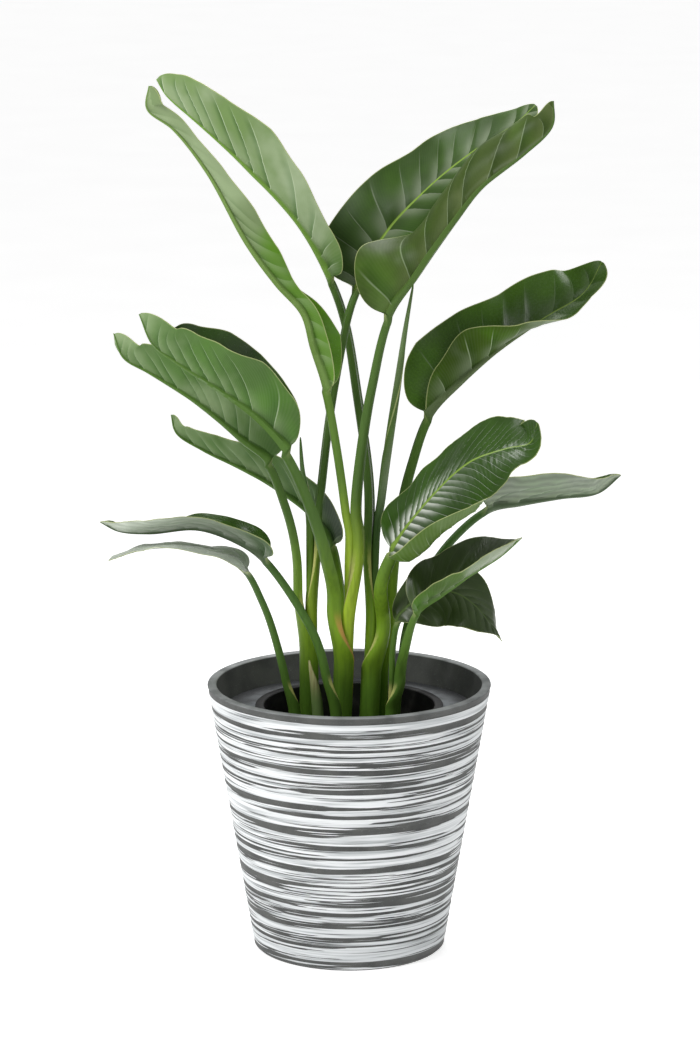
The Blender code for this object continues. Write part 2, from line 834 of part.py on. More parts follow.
def section(rib, arc, halves, body, body_width):
    """Ring of points round the leaf: along the upper face front to back, then along the lower.

    Each half is (width, rise, roll, curl, sweep) in metres and radians. The body hangs under the
    upper face.
    """
    faces = {}
    point, _, up, side = rib.frame(arc)
    outward = np.zeros(3)
    parts = (np.arange(CURL_PARTS) + 0.5) / CURL_PARTS
    for sign, (width, rise, roll, curl, swept) in ((1, halves[0]), (-1, halves[1])):
        outward += math.cos(rise) * up - math.sin(rise) * sign * side
        first = min(FIRST_COLUMN, body_width / width)
        upper = []
        lower = []
        for q in np.linspace(first, 1.0, SECTION_COLUMNS):
            turns = rise + roll * q * parts + curl * (q * parts) ** 3
            across = sign * width * q * np.cos(turns).mean()
            above = width * q * np.sin(turns).mean()
            along = arc + swept * q**VEIN_BEND
            spot, ahead, over, out = rib.frame(max(along, min(arc, 0.0)))
            spot = spot + min(0.0, along - min(arc, 0.0)) * ahead
            top = spot + across * out + above * over
            angle = rise + roll * q + curl * q**3
            normal = -math.sin(angle) * sign * out + math.cos(angle) * over
            depth = EDGE_THICKNESS + body * math.sqrt(max(0.0, 1 - (q * width / body_width) ** 2))
            upper.append(top)
            lower.append(top - depth * normal)
        faces[sign] = (upper, lower)
    middle = point - (EDGE_THICKNESS + body) * unit(outward)
    ring = faces[1][0][::-1] + [point] + faces[-1][0]
    ring += faces[-1][1][::-1] + [middle] + faces[1][1]
    return ring


def blade_ring(leaf, rib, t):
    halves = []
    knee = max(0.0, leaf.stalk[1] - RIB_HALF_WIDTH) * max(0.0, 1 - t / KNEE_FADE)
    body_width = RIB_HALF_WIDTH * (1 - t) + RIB_TIP_HALF_WIDTH + knee
    for half in (leaf.front, leaf.back):
        width = half.width * planform(leaf, t) * ease(half.trim, t)
        width = max(width, body_width + EDGE_THICKNESS / 5)
        angles = [math.radians(ease(turn, t)) for turn in (half.rise, half.roll, half.curl)]
        halves.append((width, *angles, rib.length * sweep(t, half.lobe)))
    body = RIB_DEPTH * (1 - t) + RIB_TIP_DEPTH
    return section(rib, rib.length * t, halves, body, body_width)


def stalk_ring(leaf, rib, arc, climb, share=0.0):
    """Ring down the stalk.

    climb runs from the foot (0) to the mouth of the sheath (1), share from there to the knee (1).
    """
    fade = min(1.0, max(0.0, (climb - SHEATH_FADE) / (1 - SHEATH_FADE)))
    sheath = 1 - fade * fade * (3 - 2 * fade)
    mouth, knee = leaf.stalk
    stalk = mouth + (knee - mouth) * share
    radius = leaf.clasp if leaf.clasp > 0 else 2 * CORE_HALF_WIDTH
    wrap = SHEATH_WRAP if leaf.clasp > 0 else CORE_HALF_WIDTH / radius
    width = sheath * radius * wrap + (1 - sheath) * stalk
    body = sheath * leaf.wall + (1 - sheath) * STALK_DEPTH_RATIO * stalk
    roll = width / (radius * (1 + SHEATH_OPENING * (1 - sheath)))
    half = (width, 0.0, roll, 0.0, 0.0)
    return section(rib, arc, (half, half), body, width)


def extrude_ring(bm, ring):
    """Extrude a closed ring of vertices and return the new ring in the same order."""
    edges = [bm.edges.get((a, b)) for a, b in zip(ring, ring[1:] + ring[:1])]
    made = bmesh.ops.extrude_edge_only(bm, edges=edges)["geom"]
    fresh = {item for item in made if isinstance(item, bmesh.types.BMVert)}
    return [next(e.other_vert(v) for e in v.link_edges if e.other_vert(v) in fresh) for v in ring]


def split_alike(bm, low, high):
    """Split the band between two rings, with the same diagonals on the upper and lower face."""
    count = len(low)
    for k in range(count):
        j = (k + 1) % count
        upper_face = k < count // 2
        start, end = (low[k], high[j]) if upper_face else (low[j], high[k])
        corners = {low[k], low[j], high[k], high[j]}
        quad = next(f for f in low[k].link_faces if set(f.verts) == corners)
        bmesh.utils.face_split(quad, start, end)


def close_ring(bm, ring):
    """Cap a flat ring with quads from its upper to its lower points."""
    count = len(ring)
    for k in range(count // 2 - 1):
        bm.faces.new((ring[k], ring[k + 1], ring[count - 2 - k], ring[count - 1 - k]))


def loft(rings):
    """One closed body through rings of points that all run the same way round."""
    bm = bmesh.new()
    ring = bmesh.ops.create_circle(bm, segments=len(rings[0]), radius=1.0)["verts"]
    for vert, point in zip(ring, rings[0]):
        vert.co = point
    close_ring(bm, ring)
    for points in rings[1:]:
        upper = extrude_ring(bm, ring)
        for vert, point in zip(upper, points):
            vert.co = point
        split_alike(bm, ring, upper)
        ring = upper
    close_ring(bm, ring)
    return bm


def axis_point(axis, height):
    """Point on a shoot's straight axis at a height."""
    foot, top = np.array(axis[0]), np.array(axis[1])
    return foot + (top - foot) * (height - foot[2]) / (top[2] - foot[2])


def sheath_height(top, climb):
    return FOOT_LEVEL + (top - FOOT_LEVEL) * climb


def leaf_lean(leaf):
    """Level direction that the blade leans in."""
    lean = np.array(leaf.blade[-1], float) - np.array(leaf.blade[0], float)
    lean[2] = 0.0
    return unit(lean)


def leaf_path(leaf):
    """Rib of a leaf, its sheath set off from its shoot's axis by its clasp radius."""
    lean = leaf_lean(leaf)
    stalk = []
    if leaf.shoot:
        along = unit(np.array(leaf.shoot[1]) - np.array(leaf.shoot[0]))
        face = face_direction(along, lean)
        for climb in (0.0, 0.5, 1.0):
            centre = axis_point(leaf.shoot, sheath_height(leaf.sheath_top, climb))
            stalk.append(centre - leaf.clasp * face)
    inset = STALK_DEPTH_RATIO * leaf.stalk[1] / 2
    stalk += [np.array(point) - inset * lean for point in leaf.route]
    stalk.append(np.array(leaf.blade[0]))
    return Rib(stalk, leaf.blade, 3 if leaf.shoot else 0)


def level_foot(ring):
    """Cut the foot of a sheath level, so that it stands on the floor of its hole."""
    for point in ring:
        point[2] = FOOT_LEVEL


def build_leaf(leaf):
    rib = leaf_path(leaf)
    heights = rib.points[:, 2]
    rise = int(np.argmax(rib.arc >= 0.0))
    rings = []
    for climb in SHEATH_ROWS:
        height = sheath_height(leaf.sheath_top, climb)
        arc = float(np.interp(height, heights[: rise + 1], rib.arc[: rise + 1]))
        rings.append(stalk_ring(leaf, rib, arc, climb))
    level_foot(rings[0])
    for share in STALK_ROWS:
        rings.append(stalk_ring(leaf, rib, arc * (1 - share), 1.0, share))
    rings += [blade_ring(leaf, rib, t) for t in BLADE_ROWS]
    rings.append(blade_ring(leaf, rib, TIP_ROW))
    return finish(leaf.name, loft(rings), material(leaf.name, leaf.colour, 0.35))


def build_spear(spear):
    """A rolled new leaf: a round stalk in its nest, a slightly fatter roll and a long point."""
    levels = [sheath_height(spear.sheath_top, climb) for climb in SHEATH_ROWS]
    nest = [axis_point(spear.shoot, height) for height in levels]
    path = smooth_curve(nest[-2:] + [np.array(point) for point in spear.route])[CURVE_STEPS:]
    run = np.concatenate(([0.0], np.cumsum(np.linalg.norm(np.diff(path, axis=0), axis=1))))
    stations = [(centre, spear.foot_radius) for centre in nest]
    for row in range(1, SPEAR_ROWS + 1):
        share = row / SPEAR_ROWS
        centre = np.array([np.interp(share * run[-1], run, path[:, k]) for k in range(3)])
        swell = math.sin(math.pi * min(1.0, SPEAR_SWELL * share))
        radius = spear.foot_radius + (spear.roll_radius - spear.foot_radius) * swell
        stations.append((centre, radius * (1 - share) ** SPEAR_POINT + SPEAR_TIP_RADIUS))
    turns = [math.tau * k / SPEAR_SIDES for k in range(SPEAR_SIDES)]
    spokes = [np.array((math.cos(turn), math.sin(turn), 0.0)) for turn in turns]
    bm = bmesh.new()
    ring = bmesh.ops.create_circle(bm, cap_ends=True, segments=SPEAR_SIDES, radius=1.0)["verts"]
    for index, (centre, radius) in enumerate(stations):
        if index:
            ring = extrude_ring(bm, ring)
        for vert, spoke in zip(ring, spokes):
            vert.co = centre + radius * spoke
    bmesh.ops.contextual_create(bm, geom=ring)
    return finish(spear.name, bm, material(spear.name, GREEN_LIGHT, 0.4))


def spent_rib():
    route = [np.array(point) for point in SPENT_SHEATH_ROUTE]
    return Rib(route[:-1], route[-2:])


def build_spent_sheath():
    """The clasping base left where an old leaf dried off, open at the top."""
    rib = spent_rib()
    total = rib.depth + rib.length
    rings = []
    for share, width_share in SPENT_SHEATH_ROWS:
        width = SPENT_SHEATH_CLASP * SHEATH_WRAP * width_share
        half = (width, 0.0, width / SPENT_SHEATH_CLASP, 0.0, 0.0)
        rings.append(section(rib, -rib.depth + total * share, (half, half), SHEATH_WALL, width))
    level_foot(rings[0])
    return finish("spent_sheath", loft(rings), material("spent_sheath", STRAW, 0.7))


def hole_for(rib, clasp, wall, gap):
    """Upright hole (x, y, radius) round a sheath's foot."""
    x, y, _ = rib.points[0] + clasp * rib.up[0]
    return float(x), float(y), clasp + wall + EDGE_THICKNESS + gap


def plant_holes():
    """A hole for each nest, as wide as its outermost sheath, and for each stem that stands alone."""
    nests = {}
    holes = []
    for leaf in LEAVES:
        if leaf.shoot:
            reach = leaf.clasp + leaf.wall + EDGE_THICKNESS + NEST_HOLE_GAP
            nests[leaf.shoot[0]] = max(nests.get(leaf.shoot[0], 0.0), reach)
        else:
            holes.append(hole_for(leaf_path(leaf), leaf.clasp, leaf.wall, STEM_HOLE_GAP))
    holes.append(hole_for(spent_rib(), SPENT_SHEATH_CLASP, SHEATH_WALL, NEST_HOLE_GAP))
    return holes + [(x, y, reach) for (x, y, _), reach in nests.items()]


def main():
    clear_scene()
    build_planter()
    build_collar()
    build_grow_pot()
    build_soil(plant_holes())
    for leaf in LEAVES:
        build_leaf(leaf)
    for spear in SPEARS:
        build_spear(spear)
    build_spent_sheath()


main()
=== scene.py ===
"""Looks of a potted giant white bird of paradise in a raked and brushed round planter.

Metres, +Z up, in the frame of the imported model: the origin is the centre of the planter's base
and the plant's front faces -Y. Every leaf is one skin, lofted along its rib from the foot of its
sheath to its tip, with marks on its points that the finishes read.
"""

import logging
import math
from dataclasses import dataclass, field
from enum import Enum

import bmesh
import bpy
import numpy as np
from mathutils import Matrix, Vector, noise


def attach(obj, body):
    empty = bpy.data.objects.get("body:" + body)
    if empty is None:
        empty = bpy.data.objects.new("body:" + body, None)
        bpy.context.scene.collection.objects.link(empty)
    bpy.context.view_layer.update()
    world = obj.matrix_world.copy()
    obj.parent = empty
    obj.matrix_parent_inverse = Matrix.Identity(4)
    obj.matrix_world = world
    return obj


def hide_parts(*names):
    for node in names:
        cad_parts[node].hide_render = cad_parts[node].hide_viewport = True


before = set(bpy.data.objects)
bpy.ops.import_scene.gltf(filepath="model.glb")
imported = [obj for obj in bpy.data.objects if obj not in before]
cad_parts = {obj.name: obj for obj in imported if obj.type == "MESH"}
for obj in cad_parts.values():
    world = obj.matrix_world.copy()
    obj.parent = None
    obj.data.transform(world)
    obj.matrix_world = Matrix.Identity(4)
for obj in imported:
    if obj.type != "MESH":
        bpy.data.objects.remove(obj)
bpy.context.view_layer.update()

LOG = logging.getLogger("potted_plant")
Colour = tuple[float, float, float]
Point = tuple[float, float, float]

BODY = "root"

# Levels and shoot axes that several pieces share
FOOT_LEVEL = 0.256
PLANTER_HEIGHT = 0.348
PLANTER_RIM_RADIUS = 0.1825
PLANTER_BASE_RADIUS = 0.1235
PLANTER_WALL = 0.012
SHOOT_LEFT = ((-0.050, 0.018, FOOT_LEVEL), (-0.050, 0.014, 0.55))
SHOOT_MIDDLE = ((-0.010, 0.002, FOOT_LEVEL), (0.003, -0.012, 0.57))
SHOOT_RIGHT = ((0.023, -0.002, FOOT_LEVEL), (0.034, 0.018, 0.53))
SHOOT_FRONT = ((0.052, -0.034, FOOT_LEVEL), (0.054, -0.033, 0.36))

# Leaf section
EDGE_THICKNESS = 0.0007
STALK_DEPTH_RATIO = 1.5
KNEE_FADE = 0.10
CORE_HALF_WIDTH = 0.0036
CORE_DEPTH = 0.0060
CORE_CLASP = -0.0027
RIB_HALF_WIDTH = 0.0035
RIB_DEPTH = 0.0060
RIB_TIP_HALF_WIDTH = 0.0010
RIB_TIP_DEPTH = 0.0004
SHEATH_WRAP = math.radians(150)
SHEATH_WALL = 0.0024
YOUNG_SHEATH_WALL = 0.0050
SHEATH_FADE = 0.6
SHEATH_OPENING = 1.3
LOBE_FADE = 0.13
LOBE_START = 0.012
VEIN_SWEEP = 0.04
VEIN_BEND = 1.6
CURVE_STEPS = 40


def smoothstep(low: float, high: float, x: np.ndarray) -> np.ndarray:
    """Smooth rise from 0 at low to 1 at high."""
    share = np.clip((x - low) / (high - low), 0.0, 1.0)
    return share * share * (3 - 2 * share)


def unit(vectors: np.ndarray) -> np.ndarray:
    """Vectors at length one."""
    return vectors / np.linalg.norm(vectors, axis=-1, keepdims=True)


class Graph:
    """Node tree of one finish, with short calls for the nodes that the finishes share."""

    def __init__(self, name: str) -> None:
        """Start a material with its shader.

        Args:
            name: The material's name.
        """
        self.material = bpy.data.materials.new(name)
        self.material.use_nodes = True
        self.tree = self.material.node_tree
        self.shader = self.tree.nodes["Principled BSDF"]

    def feed(self, socket: bpy.types.NodeSocket, value: object) -> None:
        """Link a node's output to a socket, or set the socket to a plain value."""
        if isinstance(value, bpy.types.NodeSocket):
            self.tree.links.new(value, socket)
        elif isinstance(value, tuple) and len(value) == 3 and socket.type == "RGBA":
            socket.default_value = (*value, 1.0)
        else:
            socket.default_value = value

    def sum(self, operation: str, *values: object) -> bpy.types.NodeSocket:
        """Result of a Math node.

        Args:
            operation: The node's operation.
            values: Numbers or sockets for its inputs, in order.

        Returns:
            The node's output.
        """
        node = self.tree.nodes.new("ShaderNodeMath")
        node.operation = operation
        for socket, value in zip(node.inputs, values):
            self.feed(socket, value)
        return node.outputs[0]

    def ease(self, value: object, low: float, high: float, to: tuple = (0.0, 1.0)) -> object:
        """Smooth change of a value from one range to another.

        Args:
            value: The socket that is read.
            low: Where the change starts.
            high: Where it ends.
            to: The results at low and at high.

        Returns:
            The node's output.
        """
        node = self.tree.nodes.new("ShaderNodeMapRange")
        node.interpolation_type = "SMOOTHSTEP"
        for socket, entry in zip(node.inputs, (value, low, high, to[0], to[1])):
            self.feed(socket, entry)
        return node.outputs[0]

    def mix(
        self, share: object, first: object, second: object, blend: str = "MIX"
    ) -> bpy.types.NodeSocket:
        """Colour between two.

        Args:
            share: How much of the second colour shows, from 0 to 1.
            first: The colour below.
            second: The colour on top.
            blend: How the second colour acts on the first.

        Returns:
            The node's output.
        """
        node = self.tree.nodes.new("ShaderNodeMix")
        node.data_type = "RGBA"
        node.blend_type = blend
        colours = [socket for socket in node.inputs if socket.type == "RGBA"]
        self.feed(node.inputs[0], share)
        self.feed(colours[0], first)
        self.feed(colours[1], second)
        return next(socket for socket in node.outputs if socket.type == "RGBA")

    def mark(self, name: str) -> bpy.types.NodeSocket:
        """Value of one of the piece's own marks."""
        node = self.tree.nodes.new("ShaderNodeAttribute")
        node.attribute_name = name
        return node.outputs["Fac"]

    def place(self, scale: Point = (1.0, 1.0, 1.0), turn: Point = (0.0, 0.0, 0.0)) -> object:
        """Object coordinates, stretched and turned."""
        source = self.tree.nodes.new("ShaderNodeTexCoord")
        node = self.tree.nodes.new("ShaderNodeMapping")
        self.feed(node.inputs["Vector"], source.outputs["Object"])
        node.inputs["Scale"].default_value = scale
        node.inputs["Rotation"].default_value = turn
        return node.outputs[0]

    def axes(self) -> tuple:
        """The X, Y and Z sockets of the object coordinates."""
        source = self.tree.nodes.new("ShaderNodeTexCoord")
        node = self.tree.nodes.new("ShaderNodeSeparateXYZ")
        self.feed(node.inputs[0], source.outputs["Object"])
        return tuple(node.outputs)

    def grain(self, vector: object, scale: float, detail: float = 3.0) -> bpy.types.NodeSocket:
        """Noise from 0 to 1.

        Args:
            vector: The coordinates that it follows.
            scale: Grains a metre, where the coordinates aren't stretched.
            detail: How many finer layers it has.

        Returns:
            The noise socket.
        """
        node = self.tree.nodes.new("ShaderNodeTexNoise")
        self.feed(node.inputs["Vector"], vector)
        node.inputs["Scale"].default_value = scale
        node.inputs["Detail"].default_value = detail
        return node.outputs[0]

    def relief(self, height: object, depth: float, strength: float = 1.0) -> None:
        """Bump the shader by a height.

        Args:
            height: The socket with the height.
            depth: Metres between a height of 0 and of 1.
            strength: The share of the bump that shows.
        """
        node = self.tree.nodes.new("ShaderNodeBump")
        self.feed(node.inputs["Height"], height)
        node.inputs["Distance"].default_value = depth
        node.inputs["Strength"].default_value = strength
        self.feed(self.shader.inputs["Normal"], node.outputs[0])

    def finish(self, **sockets: object) -> bpy.types.Material:
        """Set the shader's sockets, given with underscores for spaces, and return the material."""
        for name, value in sockets.items():
            self.feed(self.shader.inputs[name.replace("_", " ")], value)
        return self.material


@dataclass(frozen=True)
class LeafFinish:
    """Living leaf: glossy above, satin and paler below, with side veins, midrib and stalk."""

    name: str
    upper: Colour = (0.024, 0.060, 0.006)
    under: Colour = (0.075, 0.165, 0.032)
    # lit: colour where tint is above 0, a painted glow of light shining through the blade; some finishes set
    # it darker
    lit: Colour = (0.085, 0.260, 0.006)
    # Pale underside colour: partly the leaf's waxy bloom, partly a painted sheen near the keel and at the
    # tips
    bloom_and_sheen: Colour = (0.330, 0.430, 0.230)
    # Painted reflection: colour, share, reach from the rib and end along the blade of a pale sheen painted
    # near the rib of the upper face
    painted_reflection: Colour = (0.100, 0.140, 0.070)
    reflection_share: float = 0.30
    reflection_reach: float = 0.030
    reflection_end: float = 9.0
    midrib: Colour = (0.210, 0.340, 0.045)
    keel: Colour = (0.085, 0.170, 0.030)
    stalk: Colour = (0.070, 0.140, 0.025)
    stalk_low: Colour = (0.230, 0.400, 0.024)
    foot: Colour = (0.125, 0.265, 0.028)
    foot_top: float = 0.40
    low: float = 0.42
    high: float = 0.60
    margin: Colour = (0.420, 0.470, 0.200)
    dry: Colour = (0.520, 0.530, 0.170)
    gloss: float = 0.26
    satin: float = 0.42
    shine: float = 0.40
    under_shine: float = 0.15
    vein_pitch: float = 0.0030
    vein_depth: float = 0.00001
    margin_width: float = 0.0013
    dry_width: float = 0.0011
    crease_width: float = 0.030
    # crease: pale lines along the crease ridges, a painted highlight
    crease: Colour = (0.440, 0.540, 0.340)
    crease_highlight_share: float = 0.7
    shadow_share: float = 0.65
    rib_sheen: float = 0.34
    # streaks: share and spacing of darker lengthwise lines on the underside, painted shade of the blade's
    # lengthwise wrinkles
    streaks: float = 0.0
    wrinkle_pitch: float = 0.011
    shadow: Colour = (0.42, 0.56, 0.38)

    def dress(self) -> bpy.types.Material:
        """Build the material, once for all the leaves that share it.

        Returns:
            A material that reads the marks along, fold, off, crest, rim, face, blade, husk and tint.
        """
        made = bpy.data.materials.get(self.name)
        if made:
            return made
        g = Graph(self.name)
        place = g.place()
        blotch = g.grain(place, 16.0)
        fine = g.grain(place, 260.0, 2.0)
        face = g.mark("face")
        blade = g.mark("blade")
        off = g.mark("off")
        rim = g.mark("rim")
        tint = g.mark("tint")

        wander = g.sum("MULTIPLY", g.grain(place, 40.0, 1.0), 0.8)
        phase = g.sum("ADD", g.sum("DIVIDE", g.mark("along"), self.vein_pitch), wander)
        vein = g.ease(g.sum("PINGPONG", phase, 0.5), 0.5, 0.0)
        fold = g.mark("fold")
        fading = g.sum("MULTIPLY", g.ease(rim, 0.002, 0.026), g.ease(blotch, 0.35, 0.6, (0.65, 1.0)))
        # Thin lines along the creases, a painted highlight on their ridges; painted shade on the tip-ward
        # side follows
        crease = g.ease(g.sum("PINGPONG", fold, 0.5), self.crease_width, 0.0)
        crease = g.sum("MULTIPLY", crease, fading)
        past = g.sum("FRACT", fold)
        shade = g.sum("MULTIPLY", g.ease(past, 0.45, 0.04), fading)
        # Painted sheen near the rib, lighter on the base side of each crease
        near = g.ease(off, self.reflection_reach, 0.006)
        sheen = g.sum("MULTIPLY", g.ease(past, 0.30, 1.0, (0.10, 1.0)), near)
        # Painted reflection on the upper face near the rib, fading out along the blade
        fore = g.ease(g.mark("reach"), self.reflection_end, self.reflection_end - 0.5)
        painted_reflection = g.sum("MULTIPLY", g.sum("MULTIPLY", sheen, fore), self.reflection_share)
        patch = g.sum("ADD", tint, g.ease(blotch, 0.25, 0.75, (-0.30, 0.30)))

        upper = g.mix(g.ease(blotch, 0.35, 0.75), self.upper, self.lighter(self.upper, 1.6))
        upper = g.mix(painted_reflection, upper, self.painted_reflection)
        upper = g.mix(g.sum("MULTIPLY", shade, 0.4), upper, self.shadow, "MULTIPLY")
        upper = g.mix(g.sum("MULTIPLY", vein, 0.10), upper, self.lighter(self.upper, 2.6))
        # Crease lines on the upper face in the painted reflection's colour: a painted highlight
        upper = g.mix(g.sum("MULTIPLY", crease, 0.5), upper, self.painted_reflection)
        under = g.mix(g.ease(blotch, 0.3, 0.75), self.lighter(self.under, 0.80), self.under)
        # Where tint is above 0: painted glow of light shining through the blade
        under = g.mix(g.ease(patch, 0.0, 1.0), under, self.lit)
        # Where tint is below 0: paler underside, partly bloom and partly painted sheen
        under = g.mix(g.ease(patch, 0.0, -1.0), under, self.bloom_and_sheen)
        # Painted sheen near the keel, on the base side of each crease
        under = g.mix(g.sum("MULTIPLY", sheen, self.rib_sheen), under, self.bloom_and_sheen)
        dim = g.sum("MULTIPLY", shade, self.shadow_share)
        under = g.mix(dim, under, self.shadow, "MULTIPLY")
        under = g.mix(g.sum("MULTIPLY", vein, 0.05), under, self.bloom_and_sheen)
        # Painted highlight along the crease ridges of the underside
        under = g.mix(g.sum("MULTIPLY", crease, self.crease_highlight_share), under, self.crease)
        # Painted shade in lengthwise lines, standing for the shading of lengthwise wrinkles
        wrinkle_lines = g.sum("ADD", g.sum("DIVIDE", off, self.wrinkle_pitch), g.sum("MULTIPLY", blotch, 3.0))
        wrinkle_lines = g.sum("MULTIPLY", g.sum("PINGPONG", wrinkle_lines, 0.5), 2.0 * self.streaks)
        under = g.mix(wrinkle_lines, under, self.lighter(self.under, 0.45))
        green = g.mix(face, under, upper)
        crest = g.mark("crest")
        green = g.mix(g.ease(crest, 1.0, 0.7), green, g.mix(face, self.keel, green))
        midrib = g.mix(g.ease(crest, 0.2, 0.5), self.midrib, self.lighter(self.midrib, 0.75))
        ridge = g.sum("MULTIPLY", g.ease(crest, 0.62, 0.42), face)
        green = g.mix(ridge, green, midrib)
        edge = g.ease(rim, self.margin_width, self.margin_width * 0.3)
        green = g.mix(g.sum("MULTIPLY", edge, 0.75), green, self.margin)

        height = g.axes()[2]
        rise = g.ease(g.sum("ADD", height, g.sum("MULTIPLY", blotch, 0.05)), self.low, self.high)
        streak = g.grain(g.place((240.0, 240.0, 9.0)), 1.0)
        foot = g.ease(height, self.foot_top, self.foot_top - 0.07)
        stem = g.mix(foot, g.mix(rise, self.stalk_low, self.stalk), self.foot)
        stem = g.mix(g.ease(streak, 0.35, 0.8, (0.0, 0.35)), stem, self.lighter(self.stalk, 0.62))
        husk = g.sum("ADD", rim, g.sum("MULTIPLY", g.sum("SUBTRACT", fine, 0.5), 0.0008))
        husk = g.ease(husk, self.dry_width, self.dry_width * 0.3)
        husk = g.sum("MULTIPLY", husk, g.mark("husk"))
        stem = g.mix(husk, stem, self.dry)
        colour = g.mix(blade, stem, green)

        rough = g.ease(face, 0.0, 1.0, (self.satin, self.gloss))
        rough = g.sum("ADD", rough, g.ease(fine, 0.3, 0.8, (-0.01, 0.02)))
        rough = g.sum("ADD", rough, g.sum("MULTIPLY", husk, 0.3))
        shine = g.ease(face, 0.0, 1.0, (self.under_shine, self.shine))
        g.relief(g.sum("MULTIPLY", vein, blade), self.vein_depth)
        return g.finish(Base_Color=colour, Roughness=rough, Specular_IOR_Level=shine)

    @staticmethod
    def lighter(colour: Colour, times: float) -> Colour:
        """The colour at so many times its brightness."""
        return tuple(min(1.0, channel * times) for channel in colour)


@dataclass(frozen=True)
class HuskFinish:
    """Dried sheath: straw with brown lengthwise streaks, green low down."""

    name: str = "dried_sheath"
    straw: Colour = (0.420, 0.430, 0.190)
    brown: Colour = (0.210, 0.120, 0.045)
    green: Colour = (0.120, 0.200, 0.050)
    green_level: float = 0.33

    def dress(self) -> bpy.types.Material:
        """Build the material."""
        g = Graph(self.name)
        streak = g.grain(g.place((300.0, 300.0, 14.0)), 1.0, 4.0)
        fade = g.ease(g.axes()[2], self.green_level, self.green_level + 0.05)
        straw = g.mix(g.ease(streak, 0.4, 0.7), self.straw, self.brown)
        colour = g.mix(fade, self.green, straw)
        g.relief(streak, 0.0004)
        return g.finish(Base_Color=colour, Roughness=0.72)


@dataclass(frozen=True)
class PlanterFinish:
    """Dark grey fibre cement with white paint brushed over its raked ridges."""

    name: str = "raked_painted_cement"
    ground: Colour = (0.084, 0.087, 0.082)
    ground_dark: Colour = (0.047, 0.050, 0.048)
    # Paler grey on the rim's top: partly its own trowelled grey, partly painted light on the up-facing top
    rim_top_grey_and_light: Colour = (0.330, 0.345, 0.350)
    paint: Colour = (0.830, 0.850, 0.860)
    paint_thin: Colour = (0.400, 0.425, 0.435)
    grey_level: float = 0.17

    def dress(self) -> bpy.types.Material:
        """Build the material.

        Returns:
            A material that reads the marks paint (0 bare, 1 painted) and the rim-top mark (1 on the rim's
            top, where a paler grey is partly its own trowelled grey and partly painted light).
        """
        g = Graph(self.name)
        place = g.place()
        fibre = g.grain(g.place((5.0, 5.0, 700.0), (0.012, 0.0, 0.0)), 1.0, 4.0)
        strand = g.grain(g.place((9.0, 9.0, 330.0), (0.0, -0.02, 0.0)), 1.0, 4.0)
        speck = g.grain(place, 700.0, 2.0)
        cloud = g.grain(place, 26.0, 3.0)
        ground = g.mix(g.ease(cloud, 0.3, 0.7), self.ground_dark, self.ground)
        ground = g.mix(g.ease(speck, 0.62, 0.8, (0.0, 0.35)), ground, self.paint_thin)
        # Rim's top: paler grey, partly its own and partly painted light
        rim_top_share = g.sum("MULTIPLY", g.mark("rim_top_grey_and_light"), g.ease(cloud, 0.25, 0.7, (0.35, 1.0)))
        ground = g.mix(rim_top_share, ground, self.rim_top_grey_and_light)
        level = g.sum("ADD", g.mark("paint"), g.ease(fibre, 0.28, 0.72, (-0.36, 0.26)))
        level = g.sum("ADD", level, g.ease(strand, 0.28, 0.72, (-0.28, 0.20)))
        cover = g.ease(level, 0.40, 0.54)
        paint = g.mix(g.ease(strand, 0.32, 0.62), self.paint_thin, self.paint)
        x, _, z = g.axes()
        # Paint greys toward +X, a painted shade on the side away from the light, and greys toward the bottom
        side_shade_low_grey = g.sum("ADD", g.ease(z, self.grey_level, 0.0, (0.0, 0.45)), g.ease(x, 0.02, 0.16, (0.0, 0.45)))
        paint = g.mix(g.sum("MULTIPLY", side_shade_low_grey, g.ease(fibre, 0.3, 0.7, (0.5, 1.0))), paint, self.paint_thin)
        colour = g.mix(cover, ground, paint)
        rough = g.ease(cover, 0.0, 1.0, (0.62, 0.48))
        g.relief(g.sum("ADD", cover, g.sum("MULTIPLY", speck, 0.5)), 0.0003, 0.7)
        return g.finish(Base_Color=colour, Roughness=rough)


@dataclass(frozen=True)
class CollarFinish:
    """Dark ledge, dusty toward the nursery pot."""

    name: str = "dusty_ledge"
    dark: Colour = (0.026, 0.028, 0.031)
    dust: Colour = (0.290, 0.310, 0.335)
    inner: float = 0.118
    outer: float = 0.158

    def dress(self) -> bpy.types.Material:
        """Build the material."""
        g = Graph(self.name)
        place = g.place()
        x, y, _ = g.axes()
        reach = g.sum("SQRT", g.sum("ADD", g.sum("MULTIPLY", x, x), g.sum("MULTIPLY", y, y)))
        near = g.ease(reach, self.outer, self.inner)
        cloud = g.grain(place, 60.0, 5.0)
        speck = g.grain(place, 900.0, 2.0)
        dust = g.sum("MULTIPLY", near, g.ease(cloud, 0.28, 0.72, (0.25, 1.0)))
        dust = g.sum("ADD", dust, g.ease(speck, 0.6, 0.75, (0.0, 0.35)))
        colour = g.mix(g.sum("MINIMUM", dust, 1.0), self.dark, self.dust)
        g.relief(g.sum("ADD", speck, cloud), 0.0003)
        return g.finish(Base_Color=colour, Roughness=g.ease(dust, 0.0, 1.0, (0.45, 0.9)))


@dataclass(frozen=True)
class PotFinish:
    """Black moulded nursery pot with a little soil dust."""

    name: str = "black_nursery_pot"
    black: Colour = (0.008, 0.008, 0.009)
    dust: Colour = (0.060, 0.055, 0.048)

    def dress(self) -> bpy.types.Material:
        """Build the material."""
        g = Graph(self.name)
        place = g.place()
        cloud = g.grain(place, 45.0, 5.0)
        colour = g.mix(g.ease(cloud, 0.5, 0.8, (0.0, 0.5)), self.black, self.dust)
        g.relief(g.grain(place, 800.0, 2.0), 0.0001)
        return g.finish(Base_Color=colour, Roughness=g.ease(cloud, 0.3, 0.8, (0.3, 0.6)))


